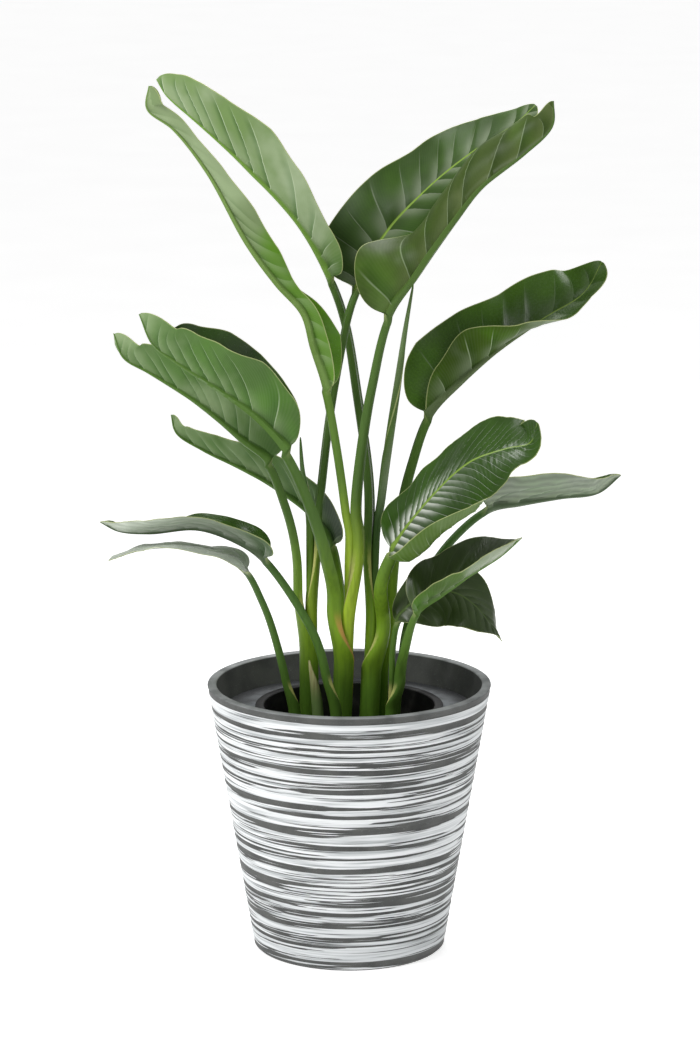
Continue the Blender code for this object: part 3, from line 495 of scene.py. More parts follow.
@dataclass(frozen=True)
class SoilFinish:
    """Moist peaty potting soil with paler fibres."""

    name: str = "potting_soil"
    dark: Colour = (0.010, 0.007, 0.005)
    brown: Colour = (0.055, 0.034, 0.019)
    fibre: Colour = (0.180, 0.120, 0.065)

    def dress(self) -> bpy.types.Material:
        """Build the material."""
        g = Graph(self.name)
        place = g.place()
        crumb = g.grain(place, 320.0, 5.0)
        strand = g.grain(g.place((1.0, 5.0, 1.0), (0.0, 0.0, 0.7)), 120.0, 3.0)
        colour = g.mix(g.ease(crumb, 0.35, 0.7), self.dark, self.brown)
        colour = g.mix(g.ease(strand, 0.68, 0.75, (0.0, 0.8)), colour, self.fibre)
        g.relief(crumb, 0.0015)
        return g.finish(Base_Color=colour, Roughness=0.92)


@dataclass(frozen=True)
class FloorFinish:
    """Plain pale studio floor."""

    name: str = "studio_floor"
    pale: Colour = (0.86, 0.86, 0.86)
    paler: Colour = (0.90, 0.90, 0.90)
    glow: float = 0.80

    def dress(self) -> bpy.types.Material:
        """Build the material."""
        g = Graph(self.name)
        colour = g.mix(g.grain(g.place(), 3.0, 2.0), self.pale, self.paler)
        return g.finish(
            Base_Color=colour, Roughness=0.6, Emission_Color=colour, Emission_Strength=self.glow
        )


class Slot(Enum):
    """Material slots of the record."""

    PLANTER = "planter"
    COLLAR = "collar"
    GROW_POT = "grow_pot"
    SOIL = "soil"
    LEAF = "leaf"
    DRY_SHEATH = "dry_sheath"


def keep(name: str, bm: bmesh.types.BMesh, mat: bpy.types.Material, sharp: float = 40.0) -> object:
    """Make a finished piece of a bmesh.

    Args:
        name: The piece's name.
        bm: The bmesh, which is freed.
        mat: The piece's material.
        sharp: Degrees between two faces above which their edge stays sharp.

    Returns:
        The new object, at the origin.
    """
    mesh = bpy.data.meshes.new(name)
    bm.to_mesh(mesh)
    bm.free()
    mesh.materials.append(mat)
    mesh.shade_smooth()
    mesh.set_sharp_from_angle(angle=math.radians(sharp))
    piece = bpy.data.objects.new(name, mesh)
    bpy.context.scene.collection.objects.link(piece)
    return piece


def plain_name(node: str) -> str:
    """Plain name of the piece that stands for a node, as drooping_leaf for leaf_drooping."""
    kind, which = node.split("_", 1)
    return f"{which}_{kind}"


def place_piece(piece: bpy.types.Object, slot: Slot, *nodes: str) -> None:
    """Put a piece on the body in place of CAD nodes, and report it."""
    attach(piece, BODY)
    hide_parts(*nodes)
    LOG.info("%s: %d faces", piece.name, len(piece.data.polygons))


def skin(points: np.ndarray, marks: dict[str, np.ndarray]) -> bmesh.types.BMesh:
    """Closed tube through rings of points.

    Args:
        points: Rows of ring points, as (rows, columns, 3).
        marks: Named values for the points, each as (rows, columns).

    Returns:
        A bmesh with the tube, both ends filled, and the marks as vertex layers.
    """
    rows, columns, _ = points.shape
    bm = bmesh.new()
    layers = {name: bm.verts.layers.float.new(name) for name in marks}
    bmesh.ops.create_grid(bm, x_segments=columns, y_segments=rows - 1, size=1.0)
    bm.verts.ensure_lookup_table()
    for row in range(rows):
        for column in range(columns + 1):
            vert = bm.verts[row * (columns + 1) + column]
            vert.co = points[row, column % columns]
            for name, layer in layers.items():
                vert[layer] = float(marks[name][row, column % columns])
    seam = [bm.verts[row * (columns + 1) + end] for row in range(rows) for end in (0, columns)]
    bmesh.ops.remove_doubles(bm, verts=seam, dist=1e-7)
    ends = [edge for edge in bm.edges if edge.is_boundary]
    filled = bmesh.ops.holes_fill(bm, edges=ends)["faces"]
    bmesh.ops.triangulate(bm, faces=filled)
    bmesh.ops.recalc_face_normals(bm, faces=bm.faces)
    return bm


@dataclass(frozen=True)
class Half:
    """One half of a blade.

    width is its full width. The other values run from base to tip: rise is the angle at the
    midrib, roll the turn from there to the margin, curl a further turn near the margin, all in
    degrees, and trim the share of the full width. lobe is how far, as a share of the midrib, the
    half reaches back past the knee.
    """

    width: float
    rise: tuple[float, ...]
    roll: tuple[float, ...] = (0.0, 0.0)
    curl: tuple[float, ...] = (0.0, 0.0)
    trim: tuple[float, ...] = (1.0, 1.0)
    lobe: float = 0.02


def stations(values: tuple[float, ...], t: np.ndarray) -> np.ndarray:
    """Smooth blend through values at evenly spaced stations of t from 0 to 1."""
    entries = np.array(values, float)
    x = np.clip(t, 0, 1) * (len(entries) - 1)
    low = np.minimum(x.astype(int), len(entries) - 2)
    share = x - low
    share = 0.5 * share + 0.5 * share * share * (3 - 2 * share)
    return entries[low] * (1 - share) + entries[low + 1] * share


def smooth_curve(points: list, straight: int = 0) -> np.ndarray:
    """Dense samples of a smooth curve.

    Args:
        points: The points that it passes through.
        straight: How many of the first points lie on a straight line that it leaves smoothly.

    Returns:
        The samples, as (count, 3).
    """
    p = np.array(points, float)
    spans = np.linalg.norm(np.diff(p, axis=0), axis=1) ** 0.5
    knots = np.concatenate(([0.0], np.cumsum(spans)))
    slopes = np.gradient(p, knots, axis=0)
    if straight:
        slopes[:straight] = (p[straight - 1] - p[0]) / (knots[straight - 1] - knots[0])
    share = np.linspace(0, 1, CURVE_STEPS, endpoint=False)[:, None]
    parts = []
    for i, span in enumerate(spans):
        parts.append(
            (1 + 2 * share) * (1 - share) ** 2 * p[i]
            + share * (1 - share) ** 2 * span * slopes[i]
            + share**2 * (3 - 2 * share) * p[i + 1]
            + share**2 * (share - 1) * span * slopes[i + 1]
        )
    parts.append(p[-1:])
    return np.vstack(parts)


def face_direction(ahead: np.ndarray, lean: np.ndarray) -> np.ndarray:
    """Direction that the upper face looks: up on a level rib, back toward the plant on a stalk."""
    slope = np.arctan2(ahead[..., 2], ahead @ lean)[..., None]
    reference = np.cos(slope) * np.array((0.0, 0.0, 1.0)) - np.sin(slope) * lean
    return unit(reference - np.sum(reference * ahead, axis=-1, keepdims=True) * ahead)


def axis_point(axis: tuple[Point, Point], height: float) -> np.ndarray:
    """Point on a shoot's straight axis at a height."""
    foot, top = np.array(axis[0]), np.array(axis[1])
    return foot + (top - foot) * (height - foot[2]) / (top[2] - foot[2])


class Rib:
    """Line of a leaf's upper face: arc length is 0 at the knee and negative down the stalk."""

    def __init__(self, stalk: list, blade: tuple, straight: int = 0) -> None:
        """Work out the line and its directions.

        Args:
            stalk: Points from the foot to the knee.
            blade: Points from the knee to the tip.
            straight: How many of the first points lie on a straight line.
        """
        self.points = smooth_curve(list(stalk) + list(blade)[1:], straight)
        steps = np.linalg.norm(np.diff(self.points, axis=0), axis=1)
        run = np.concatenate(([0.0], np.cumsum(steps)))
        self.arc = run - run[(len(stalk) - 1) * CURVE_STEPS]
        self.length = self.arc[-1]
        self.depth = -self.arc[0]
        lean = np.array(blade[-1], float) - np.array(blade[0], float)
        lean[2] = 0.0
        self.lean = unit(lean)
        self.ahead = unit(np.gradient(self.points, self.arc, axis=0))
        self.up = face_direction(self.ahead, self.lean)
        self.side = np.cross(self.ahead, self.up) * math.copysign(1.0, self.lean[0])

    def frame(self, arc: np.ndarray) -> tuple:
        """Point, forward, up and front-side directions at arc lengths of any shape."""
        flat = np.ravel(arc)
        found = []
        for values in (self.points, self.ahead, self.up, self.side):
            columns = [np.interp(flat, self.arc, values[:, k]) for k in range(3)]
            found.append(np.stack(columns, -1).reshape(np.shape(arc) + (3,)))
        return found[0], unit(found[1]), unit(found[2]), unit(found[3])


@dataclass
class Rows:
    """Row by row values of a skin: for each half its width, rise, roll, curl and sweep."""

    arc: np.ndarray
    halves: list
    body: np.ndarray
    body_width: np.ndarray


class Section:
    """Rings of points round a leaf: the upper face front to back, then the lower."""

    columns: int = 13
    body_columns: int = 4
    body_share: float = 0.35
    steps: int = 16

    def shares(self, rows: Rows, width: np.ndarray) -> np.ndarray:
        """Where the columns stand across a half, as (rows, columns) from just over 0 to 1."""
        inner = np.minimum(self.body_share, rows.body_width / width)[:, None]
        count = self.columns - self.body_columns
        near = inner * np.arange(1, self.body_columns + 1) / self.body_columns
        far = inner + (1 - inner) * np.arange(1, count + 1) / count
        return np.hstack((near, far))

    def rings(self, rib: Rib, rows: Rows, swell: object) -> tuple:
        """Work out the rings.

        Args:
            rib: The line of the upper face.
            rows: The row by row values.
            swell: Function of (half, shares) that gives how far the skin is lifted.

        Returns:
            The points as (rows, ring, 3), and the distances from the rib, from the margin and
            the face (1 above, 0 below), each as (rows, ring).
        """
        point, _, up, side = rib.frame(rows.arc)
        outward = np.zeros_like(point)
        uppers = []
        lowers = []
        offs = []
        rims = []
        stalk_arc = np.minimum(rows.arc, 0.0)[:, None]
        steps = (np.arange(self.steps) + 0.5) / self.steps
        for half, sign in enumerate((1, -1)):
            width, rise, roll, curl, swept = rows.halves[half]
            outward += np.cos(rise)[:, None] * up - np.sin(rise)[:, None] * sign * side
            q = self.shares(rows, width)
            span = q[..., None] * steps
            turn = rise[:, None, None] + roll[:, None, None] * span
            turn = turn + curl[:, None, None] * span**3
            across = width[:, None] * q * np.cos(turn).mean(-1)
            above = width[:, None] * q * np.sin(turn).mean(-1)
            along = rows.arc[:, None] + swept[:, None] * q**VEIN_BEND
            spot, ahead, over, out = rib.frame(np.maximum(along, stalk_arc))
            spot = spot + np.minimum(0.0, along - stalk_arc)[..., None] * ahead
            angle = (rise[:, None] + roll[:, None] * q + curl[:, None] * q**3)[..., None]
            normal = -np.sin(angle) * sign * out + np.cos(angle) * over
            top = spot + sign * across[..., None] * out + above[..., None] * over
            top = top + swell(half, q)[..., None] * normal
            bulge = 1 - (q * width[:, None] / rows.body_width[:, None]) ** 2
            depth = EDGE_THICKNESS + rows.body[:, None] * np.sqrt(np.clip(bulge, 0.0, 1.0))
            uppers.append(top)
            lowers.append(top - depth[..., None] * normal)
            offs.append(q * width[:, None])
            rims.append((1 - q) * width[:, None])
        middle = point - (EDGE_THICKNESS + rows.body)[:, None] * unit(outward)
        points = self.round(uppers, point, lowers, middle)
        none = np.zeros(len(point))
        reach = np.minimum(rows.halves[0][0], rows.halves[1][0])
        off = self.round(offs, none, offs, none)
        rim = self.round(rims, reach, rims, reach)
        ones = [np.ones_like(value) for value in offs]
        nils = [np.zeros_like(value) for value in offs]
        face = self.round(ones, none + 1, nils, none)
        return points, off, rim, face

    @staticmethod
    def round(upper: list, top: np.ndarray, lower: list, bottom: np.ndarray) -> np.ndarray:
        """Join the values of both faces into rings: front, middle, back, then back again below."""
        parts = (
            upper[0][:, ::-1],
            top[:, None],
            upper[1],
            lower[1][:, ::-1],
            bottom[:, None],
            lower[0],
        )
        return np.concatenate(parts, axis=1)


@dataclass(frozen=True)
class Leaf:
    """A leaf: its route (foot to knee, knee to tip), the form of its blade, and its finish.

    stalk holds the stalk's half width at the mouth of the sheath and at the knee. pleat is how
    deep the blade is pleated along its side veins, and ripple how far its margin waves. tint
    runs from base to tip: below 0 the underside is paler, partly its waxy bloom and partly a
    painted sheen; above 0 it takes a painted glow of light shining through it.
    slant is how far a side vein runs toward the tip for each metre outward, past the base.
    """

    name: str
    route: tuple
    blade: tuple
    front: Half
    back: Half
    shoot: tuple = ()
    clasp: float = 0.004
    wall: float = YOUNG_SHEATH_WALL
    stalk: tuple[float, float] = (0.0058, 0.0045)
    sheath_top: float = 0.36
    base: float = 0.12
    widest: float = 0.45
    taper: float = 3.0
    blunt: float = 0.6
    finish: LeafFinish = field(default=LeafFinish("leaf"))
    pleat: float = 0.0022
    pleats: int = 11
    slant: float = 0.7
    ripple: float = 0.0022
    tint: tuple[float, ...] = (0.0, 0.0)

    sheath_rows = 30
    stalk_rows = 36
    blade_rows = 210
    last_row = 0.998
    flare = 0.008

    def build(self) -> bpy.types.Object:
        """Build the leaf's skin and dress it."""
        rib = self.rib()
        rows, t, climb = self.rows(rib)
        points, off, rim, face = Section().rings(rib, rows, self.swell(rib, rows, t))
        points[0, :, 2] = FOOT_LEVEL
        lag = self.lag(t, off)
        ring = np.ones(points.shape[1])
        husk = smoothstep(0.30, 0.55, climb) * smoothstep(1.0, 0.85, climb)
        marks = {
            "along": rows.arc[:, None] - lag,
            "fold": self.fold(t[:, None] - lag / rib.length),
            "off": off,
            "crest": off / rows.body_width[:, None],
            "rim": rim,
            "face": face,
            "blade": np.outer(smoothstep(-0.012, 0.006, rows.arc), ring),
            "reach": np.outer(t, ring),
            "husk": np.outer(husk, ring),
            "tint": np.outer(stations(self.tint, t), ring),
        }
        return keep(plain_name(self.name), skin(points, marks), self.finish.dress(), 62.0)

    def rib(self) -> Rib:
        """Rib of the leaf, its sheath set off from its shoot's axis by its clasp radius."""
        lean = np.array(self.blade[-1], float) - np.array(self.blade[0], float)
        lean[2] = 0.0
        lean = unit(lean)
        stalk = []
        if self.shoot:
            along = unit(np.array(self.shoot[1]) - np.array(self.shoot[0]))
            face = face_direction(along, lean)
            for climb in (0.0, 0.5, 1.0):
                centre = axis_point(self.shoot, self.sheath_height(climb))
                stalk.append(centre - self.clasp * face)
        inset = STALK_DEPTH_RATIO * self.stalk[1] / 2
        stalk += [np.array(point) - inset * lean for point in self.route]
        stalk.append(np.array(self.blade[0]))
        return Rib(stalk, self.blade, 3 if self.shoot else 0)

    def sheath_height(self, climb: float) -> float:
        """Height at a climb from the foot (0) to the mouth of the sheath (1)."""
        return FOOT_LEVEL + (self.sheath_top - FOOT_LEVEL) * climb

    def rows(self, rib: Rib) -> tuple:
        """Row by row values from the foot to the tip.

        Args:
            rib: The leaf's rib.

        Returns:
            The rows, then each row's t on the blade (0 on the stalk) and its climb.
        """
        low, heights = rib.arc[rib.arc < 0.0], rib.points[rib.arc < 0.0, 2]
        climb = np.linspace(0, 1, self.sheath_rows)
        sheath_arc = np.interp(self.sheath_height(climb), heights, low)
        share = np.linspace(0, 1, self.stalk_rows + 2)[1:-1]
        stalk_arc = sheath_arc[-1] * (1 - share)
        even = np.linspace(0, 1, self.blade_rows)
        t = self.last_row * (even - 0.35 * np.sin(math.tau * even) / math.tau)
        arc = np.concatenate((sheath_arc, stalk_arc, rib.length * t))
        parts = (
            self.stalk_values(climb, 0 * climb),
            self.stalk_values(1 + 0 * share, share),
            self.blade_values(rib, t),
        )
        joined = [np.concatenate(three, axis=-1) for three in zip(*parts)]
        on_blade = np.concatenate((0 * sheath_arc, 0 * stalk_arc, t))
        climbs = np.concatenate((climb, 1 + 0 * share, 1 + 0 * t))
        return Rows(arc, joined[:2], joined[2], joined[3]), on_blade, climbs

    def stalk_values(self, climb: np.ndarray, share: np.ndarray) -> tuple:
        """Section values down the stalk.

        Args:
            climb: From the foot (0) to the mouth of the sheath (1).
            share: From the mouth of the sheath (0) to the knee (1).

        Returns:
            The values of each half, then the depth and half width of the body.
        """
        fade = smoothstep(SHEATH_FADE, 1.0, climb)
        sheath = 1 - fade
        mouth, knee = self.stalk
        stalk = mouth + (knee - mouth) * share
        radius = self.clasp if self.clasp > 0 else 2 * CORE_HALF_WIDTH
        wrap = SHEATH_WRAP if self.clasp > 0 else CORE_HALF_WIDTH / radius
        width = sheath * radius * wrap + fade * stalk
        body = sheath * self.wall + fade * STALK_DEPTH_RATIO * stalk
        roll = width / (radius * (1 + SHEATH_OPENING * fade))
        nil = 0 * climb
        half = np.stack((width, nil, roll, nil, nil))
        return half, half, body, width

    def blade_values(self, rib: Rib, t: np.ndarray) -> tuple:
        """Section values along the blade, in the order of stalk_values."""
        knee = max(0.0, self.stalk[1] - RIB_HALF_WIDTH) * np.maximum(0.0, 1 - t / KNEE_FADE)
        body_width = RIB_HALF_WIDTH * (1 - t) + RIB_TIP_HALF_WIDTH + knee
        body = RIB_DEPTH * (1 - t) + RIB_TIP_DEPTH
        halves = []
        for half in (self.front, self.back):
            width = half.width * self.planform(t) * stations(half.trim, t)
            width = np.maximum(width, body_width + 0.0002)
            angles = [np.radians(stations(angle, t)) for angle in (half.rise, half.roll, half.curl)]
            halves.append(np.stack((width, *angles, rib.length * self.sweep(t, half.lobe))))
        return halves[0], halves[1], body, body_width

    def planform(self, t: np.ndarray) -> np.ndarray:
        """Share of the full half-width at t: a round base and a blunt tip."""
        base = np.sqrt(np.clip(1 - (1 - np.minimum(t / self.base, 1.0)) ** 2, 0.0, 1.0))
        past = np.clip((t - self.widest) / (1 - self.widest), 0.0, 1.0)
        return base * (1 - past**self.taper) ** self.blunt

    @staticmethod
    def sweep(t: np.ndarray, lobe: float) -> np.ndarray:
        """How far along the rib, as a share of it, a side vein ends past where it starts."""
        back = np.exp(-((t / LOBE_FADE) ** 2)) * (1 - np.exp(-t / LOBE_START))
        forward = np.sin(math.pi * np.maximum(0.0, (t - LOBE_FADE) / (1 - LOBE_FADE)))
        return VEIN_SWEEP * forward - lobe * back

    def lag(self, t: np.ndarray, off: np.ndarray) -> np.ndarray:
        """How far along the rib a side vein has run where it is so far off the rib."""
        slope = self.slant * smoothstep(-0.1, 0.6, t)[:, None]
        return slope * off + self.flare * (1 - np.exp(-off / self.flare))

    def fold(self, share: np.ndarray) -> np.ndarray:
        """Count of pleats up to a share of the blade's length, unevenly spaced."""
        seed = Vector(self.blade[0]) * 31.0
        grid = np.linspace(-0.4, 1.0, 140)
        shift = [noise.noise(seed + Vector((6.0 * x, 0.0, 0.0))) for x in grid]
        return np.interp(share, grid, self.pleats * grid + 0.7 * np.array(shift))

    def swell(self, rib: Rib, rows: Rows, t: np.ndarray) -> object:
        """Pleats, margin waves and soft unevenness of the blade.

        Args:
            rib: The leaf's rib.
            rows: The row by row values.
            t: Each row's place on the blade.

        Returns:
            A function of (half, shares) that gives how far each point is lifted.
        """
        seed = Vector(self.blade[0]) * 17.0
        blade = (smoothstep(0.0, 0.05, t) * smoothstep(1.0, 0.93, t))[:, None]
        steps = np.linspace(0, 1, 9)

        def lift(half: int, q: np.ndarray) -> np.ndarray:
            """Lift of the points of one half."""
            off = q * rows.halves[half][0][:, None]
            fold = self.fold(t[:, None] - self.lag(t, off) / rib.length)
            crease = np.sin(math.pi * (fold % 1.0) ** 0.6) ** 0.6
            depth = 0.8 + 0.35 * np.sin(1.7 * fold + 2.0 * half) + 0.2 * np.sin(4.1 * fold)
            pleat = crease * depth * smoothstep(0.0, 0.12, q) * (1 - 0.8 * q)
            rough = np.array(
                [
                    [noise.noise(seed + Vector((8.0 * x, 1.6 * y, 5.0 + half))) for y in steps]
                    for x in t
                ]
            )
            wave = np.stack([np.interp(q[row], steps, rough[row]) for row in range(len(t))])
            return blade * (self.pleat * pleat + self.ripple * wave * (0.3 + 1.7 * q * q))

        return lift


@dataclass(frozen=True)
class Spear:
    """A rolled new leaf: the nest it stands in, how high it is clasped, and its free route."""

    name: str
    shoot: tuple
    sheath_top: float
    route: tuple
    finish: LeafFinish
    foot_radius: float = 0.0046
    roll_radius: float = 0.0064
    tip_radius: float = 0.0006
    point: float = 0.55
    swell: float = 1.6
    lap: float = 0.13
    twist: float = 2.4
    sides: int = 36
    rows: int = 110

    def build(self) -> bpy.types.Object:
        """Build the rolled leaf, with the lap of its roll winding up it, and dress it."""
        foot = axis_point(self.shoot, FOOT_LEVEL)
        top = axis_point(self.shoot, self.sheath_top)
        path = smooth_curve([foot, (foot + top) / 2, top, *self.route], 3)
        run = np.concatenate(([0.0], np.cumsum(np.linalg.norm(np.diff(path, axis=0), axis=1))))
        share = np.linspace(0, 1, self.rows)
        centre = np.stack([np.interp(share * run[-1], run, path[:, k]) for k in range(3)], -1)
        clasped = run[2 * CURVE_STEPS] / run[-1]
        free = np.clip((share - clasped) / (1 - clasped), 0.0, 1.0)
        swell = np.sin(math.pi * np.minimum(1.0, self.swell * free))
        radius = self.foot_radius + (self.roll_radius - self.foot_radius) * swell
        radius = radius * (1 - free) ** self.point + self.tip_radius
        turn = math.tau * np.arange(self.sides) / self.sides
        wound = (turn[None, :] / math.tau - self.twist * share[:, None]) % 1.0
        reach = radius[:, None] * (1 - self.lap * wound * smoothstep(0.0, 0.2, free)[:, None])
        spokes = np.stack([np.cos(turn), np.sin(turn), 0 * turn], -1)
        points = centre[:, None, :] + reach[..., None] * spokes
        edge = np.minimum(wound, 1 - wound) * radius[:, None] * math.tau
        nil = 0 * wound
        marks = {
            "along": centre[:, None, 2] + nil,
            "off": nil + 1.0,
            "crest": nil + 2.0,
            "rim": edge,
            "face": nil,
            "blade": smoothstep(0.05, 0.3, free)[:, None] + nil,
            "husk": nil,
        }
        return keep(plain_name(self.name), skin(points, marks), self.finish.dress(), 50.0)


@dataclass(frozen=True)
class SpentSheath:
    """The clasping base left where an old leaf dried off, split and ragged at the top."""

    name: str = "spent_sheath"
    route: tuple = (
        (-0.043, -0.043, FOOT_LEVEL),
        (-0.044, -0.043, 0.30),
        (-0.047, -0.044, 0.35),
        (-0.050, -0.045, 0.388),
    )
    clasp: float = 0.006
    taper: tuple = ((0.0, 1.0), (0.35, 1.0), (0.6, 0.9), (0.8, 0.6), (0.93, 0.25), (1.0, 0.07))
    rows: int = 60
    ragged: float = 0.10
    finish: HuskFinish = field(default=HuskFinish())

    def build(self) -> bpy.types.Object:
        """Build the husk and dress it."""
        route = [np.array(point) for point in self.route]
        rib = Rib(route[:-1], tuple(route[-2:]))
        share = np.linspace(0, 1, self.rows)
        width = np.interp(share, *zip(*self.taper)) * self.clasp * SHEATH_WRAP
        tear = [self.ragged * noise.noise(Vector((40.0 * x, 3.0, 0.0))) for x in share]
        width = width * (1 + np.array(tear) * smoothstep(0.3, 0.7, share))
        arc = -rib.depth + (rib.depth + rib.length) * share
        nil = 0 * share
        half = np.stack((width, nil, width / self.clasp, nil, nil))
        rows = Rows(arc, (half, half), nil + SHEATH_WALL * 0.6, width)
        points, _, _, _ = Section().rings(rib, rows, lambda _, q: 0 * q)
        points[0, :, 2] = FOOT_LEVEL
        return keep("dried_husk", skin(points, {}), self.finish.dress(), 62.0)


@dataclass(frozen=True)
class Planter:
    """Round tapered planter: raked outer wall, turned rim and plain inside."""

    floor: float = 0.010
    edge: float = 0.0015
    sides: int = 168
    pitch: float = 0.00100
    unpainted: float = 0.0095
    ridge: float = 0.0006
    low_cover_drop: float = 0.08
    strokes: int = 430
    seed: int = 7
    bands: tuple = (
        (0.3229, 0.0090, 1.0),
        (0.3117, 0.0022, 0.8),
        (0.3027, 0.0028, 0.8),
        (0.2878, 0.0042, 0.7),
        (0.2720, 0.0085, 1.0),
        (0.2462, 0.0085, 1.0),
        (0.2259, 0.0070, 0.9),
        (0.2121, 0.0050, 0.9),
        (0.1932, 0.0112, 1.0),
        (0.1704, 0.0082, 0.6),
        (0.1541, 0.0042, 0.8),
        (0.1391, 0.0085, 1.0),
        (0.1156, 0.0098, 0.6),
        (0.0915, 0.0070, 0.9),
        (0.0765, 0.0055, 0.7),
        (0.0620, 0.0076, 0.9),
        (0.0432, 0.0042, 0.8),
        (0.0331, 0.0042, 0.7),
        (0.0080, 0.0110, 0.9),
    )

    def wall_radius(self, height: float) -> float:
        """Radius of the outer wall at a height."""
        share = height / PLANTER_HEIGHT
        return PLANTER_BASE_RADIUS + (PLANTER_RIM_RADIUS - PLANTER_BASE_RADIUS) * share

    def profile(self) -> list:
        """Points (radius, height) from the centre of the base, up the wall and down the inside."""
        low, high = 2 * self.edge, PLANTER_HEIGHT - self.edge
        wall = np.linspace(low, high, round((high - low) / self.pitch))
        inner_rim = PLANTER_RIM_RADIUS - PLANTER_WALL
        inner_base = self.wall_radius(self.floor) - PLANTER_WALL
        points = [(0.0, 0.0), (PLANTER_BASE_RADIUS - low, 0.0)]
        points += [(self.wall_radius(height), height) for height in wall]
        points += [
            (PLANTER_RIM_RADIUS - self.edge * 0.4, PLANTER_HEIGHT - self.edge * 0.3),
            (PLANTER_RIM_RADIUS - self.edge, PLANTER_HEIGHT),
            (inner_rim + self.edge, PLANTER_HEIGHT),
            (inner_rim + self.edge * 0.3, PLANTER_HEIGHT - self.edge * 0.4),
            (inner_rim, PLANTER_HEIGHT - self.edge * 1.2),
            (inner_base, self.floor + 2 * self.edge),
            (inner_base - 2 * self.edge, self.floor),
            (0.0, self.floor),
        ]
        return points

    def paint(self, place: Vector) -> float:
        """How well the paint covers a place on the outer wall: 1 on ridges, 0 in bare bands."""
        turn = math.atan2(place.y, place.x)
        around = Vector((math.cos(turn), math.sin(turn), 0.0))
        height = place.z + 0.0016 * noise.noise(around * 1.3 + Vector((0, 0, place.z * 9.0)))
        cover = 1.0
        for index, (level, thick, strength) in enumerate(self.bands):
            if abs(height - level) > 3 * thick:
                continue
            sway = noise.noise(around * 0.9 + Vector((0.0, 0.0, 7.3 * index)))
            gain = noise.noise(around * 1.4 + Vector((3.0, 0.0, 5.1 * index)))
            half = 0.46 * thick * (1.0 + 0.9 * gain)
            gap = abs(height - level - 0.0035 * sway) / max(half, 0.0006)
            cover -= strength * math.exp(-(gap**4)) * min(1.0, 1.0 + 0.8 * gain)
        streaks = noise.noise(around * 1.1 + Vector((0.0, 0.0, place.z * 230.0)))
        lean = noise.noise(around * 1.7 + Vector((5.0, 0.0, (place.z + 0.012 * place.x) * 420.0)))
        cover -= 0.30 * max(0.0, streaks - 0.05) + 0.25 * max(0.0, lean)
        return cover

    def brush(self, turn: np.ndarray, height: np.ndarray) -> np.ndarray:
        """Thin strokes that end in points: paint scraped off, and some laid on.

        Args:
            turn: Angles round the planter.
            height: Heights of the same places.

        Returns:
            What the strokes add to the cover.
        """
        rng = np.random.default_rng(self.seed)
        change = np.zeros_like(turn)
        for _ in range(self.strokes):
            middle, level = rng.uniform(-math.pi, math.pi), rng.uniform(0.004, 0.336)
            span, tilt = rng.uniform(0.30, 1.50), rng.normal(0.0, 0.0022)
            thick, strength = rng.uniform(0.0005, 0.0013), rng.uniform(0.5, 1.0)
            laid_on = rng.random() < 0.42
            gap = (turn - middle + math.pi) % math.tau - math.pi
            taper = np.clip(1 - (gap / span) ** 2, 0.0, 1.0)
            rise = (height - level - tilt * gap) / (thick * (0.35 + 0.65 * taper))
            mask = strength * np.sqrt(taper) * np.exp(-(rise**2))
            change += mask * (0.9 if laid_on else -1.0)
        return change

    def build(self) -> bpy.types.Object:
        """Spin the profile, rake the wall and dress it."""
        bm = bmesh.new()
        mark = bm.verts.layers.float.new("paint")
        rim_top_grey_and_light = bm.verts.layers.float.new("rim_top_grey_and_light")
        verts = [bm.verts.new((radius, 0.0, height)) for radius, height in self.profile()]
        edges = [bm.edges.new(pair) for pair in zip(verts, verts[1:])]
        bmesh.ops.spin(
            bm,
            geom=verts + edges,
            cent=(0, 0, 0),
            axis=(0, 0, 1),
            dvec=(0, 0, 0),
            angle=math.tau,
            steps=self.sides,
            use_merge=True,
            use_duplicate=False,
        )
        bmesh.ops.remove_doubles(bm, verts=bm.verts, dist=1e-6)
        wall = []
        for vert in bm.verts:
            reach = math.hypot(vert.co.x, vert.co.y)
            # Mark the rim's top for its paler grey, partly painted light
            if vert.co.z > PLANTER_HEIGHT - self.edge * 0.5:
                vert[rim_top_grey_and_light] = 1.0
            outside = abs(reach - self.wall_radius(vert.co.z)) < 1e-5
            if outside and self.edge < vert.co.z < PLANTER_HEIGHT - self.edge:
                wall.append(vert)
        turn = np.array([math.atan2(vert.co.y, vert.co.x) for vert in wall])
        height = np.array([vert.co.z for vert in wall])
        cover = np.array([self.paint(vert.co) for vert in wall]) + self.brush(turn, height)
        # Less paint cover toward the bottom
        cover -= self.low_cover_drop * smoothstep(0.20, 0.0, height)
        cover[height > PLANTER_HEIGHT - self.unpainted] = 0.0
        depth = self.ridge * (np.clip(cover, -0.3, 1.1) - 1.0)
        depth *= np.minimum(1.0, (height - self.edge) / 0.004)
        for vert, share, sink in zip(wall, cover, depth):
            vert[mark] = max(0.0, min(1.0, share))
            reach = math.hypot(vert.co.x, vert.co.y)
            vert.co.x *= 1 + sink / reach
            vert.co.y *= 1 + sink / reach
        bmesh.ops.recalc_face_normals(bm, faces=bm.faces)
        return keep("raked_planter", bm, PlanterFinish().dress(), 50.0)


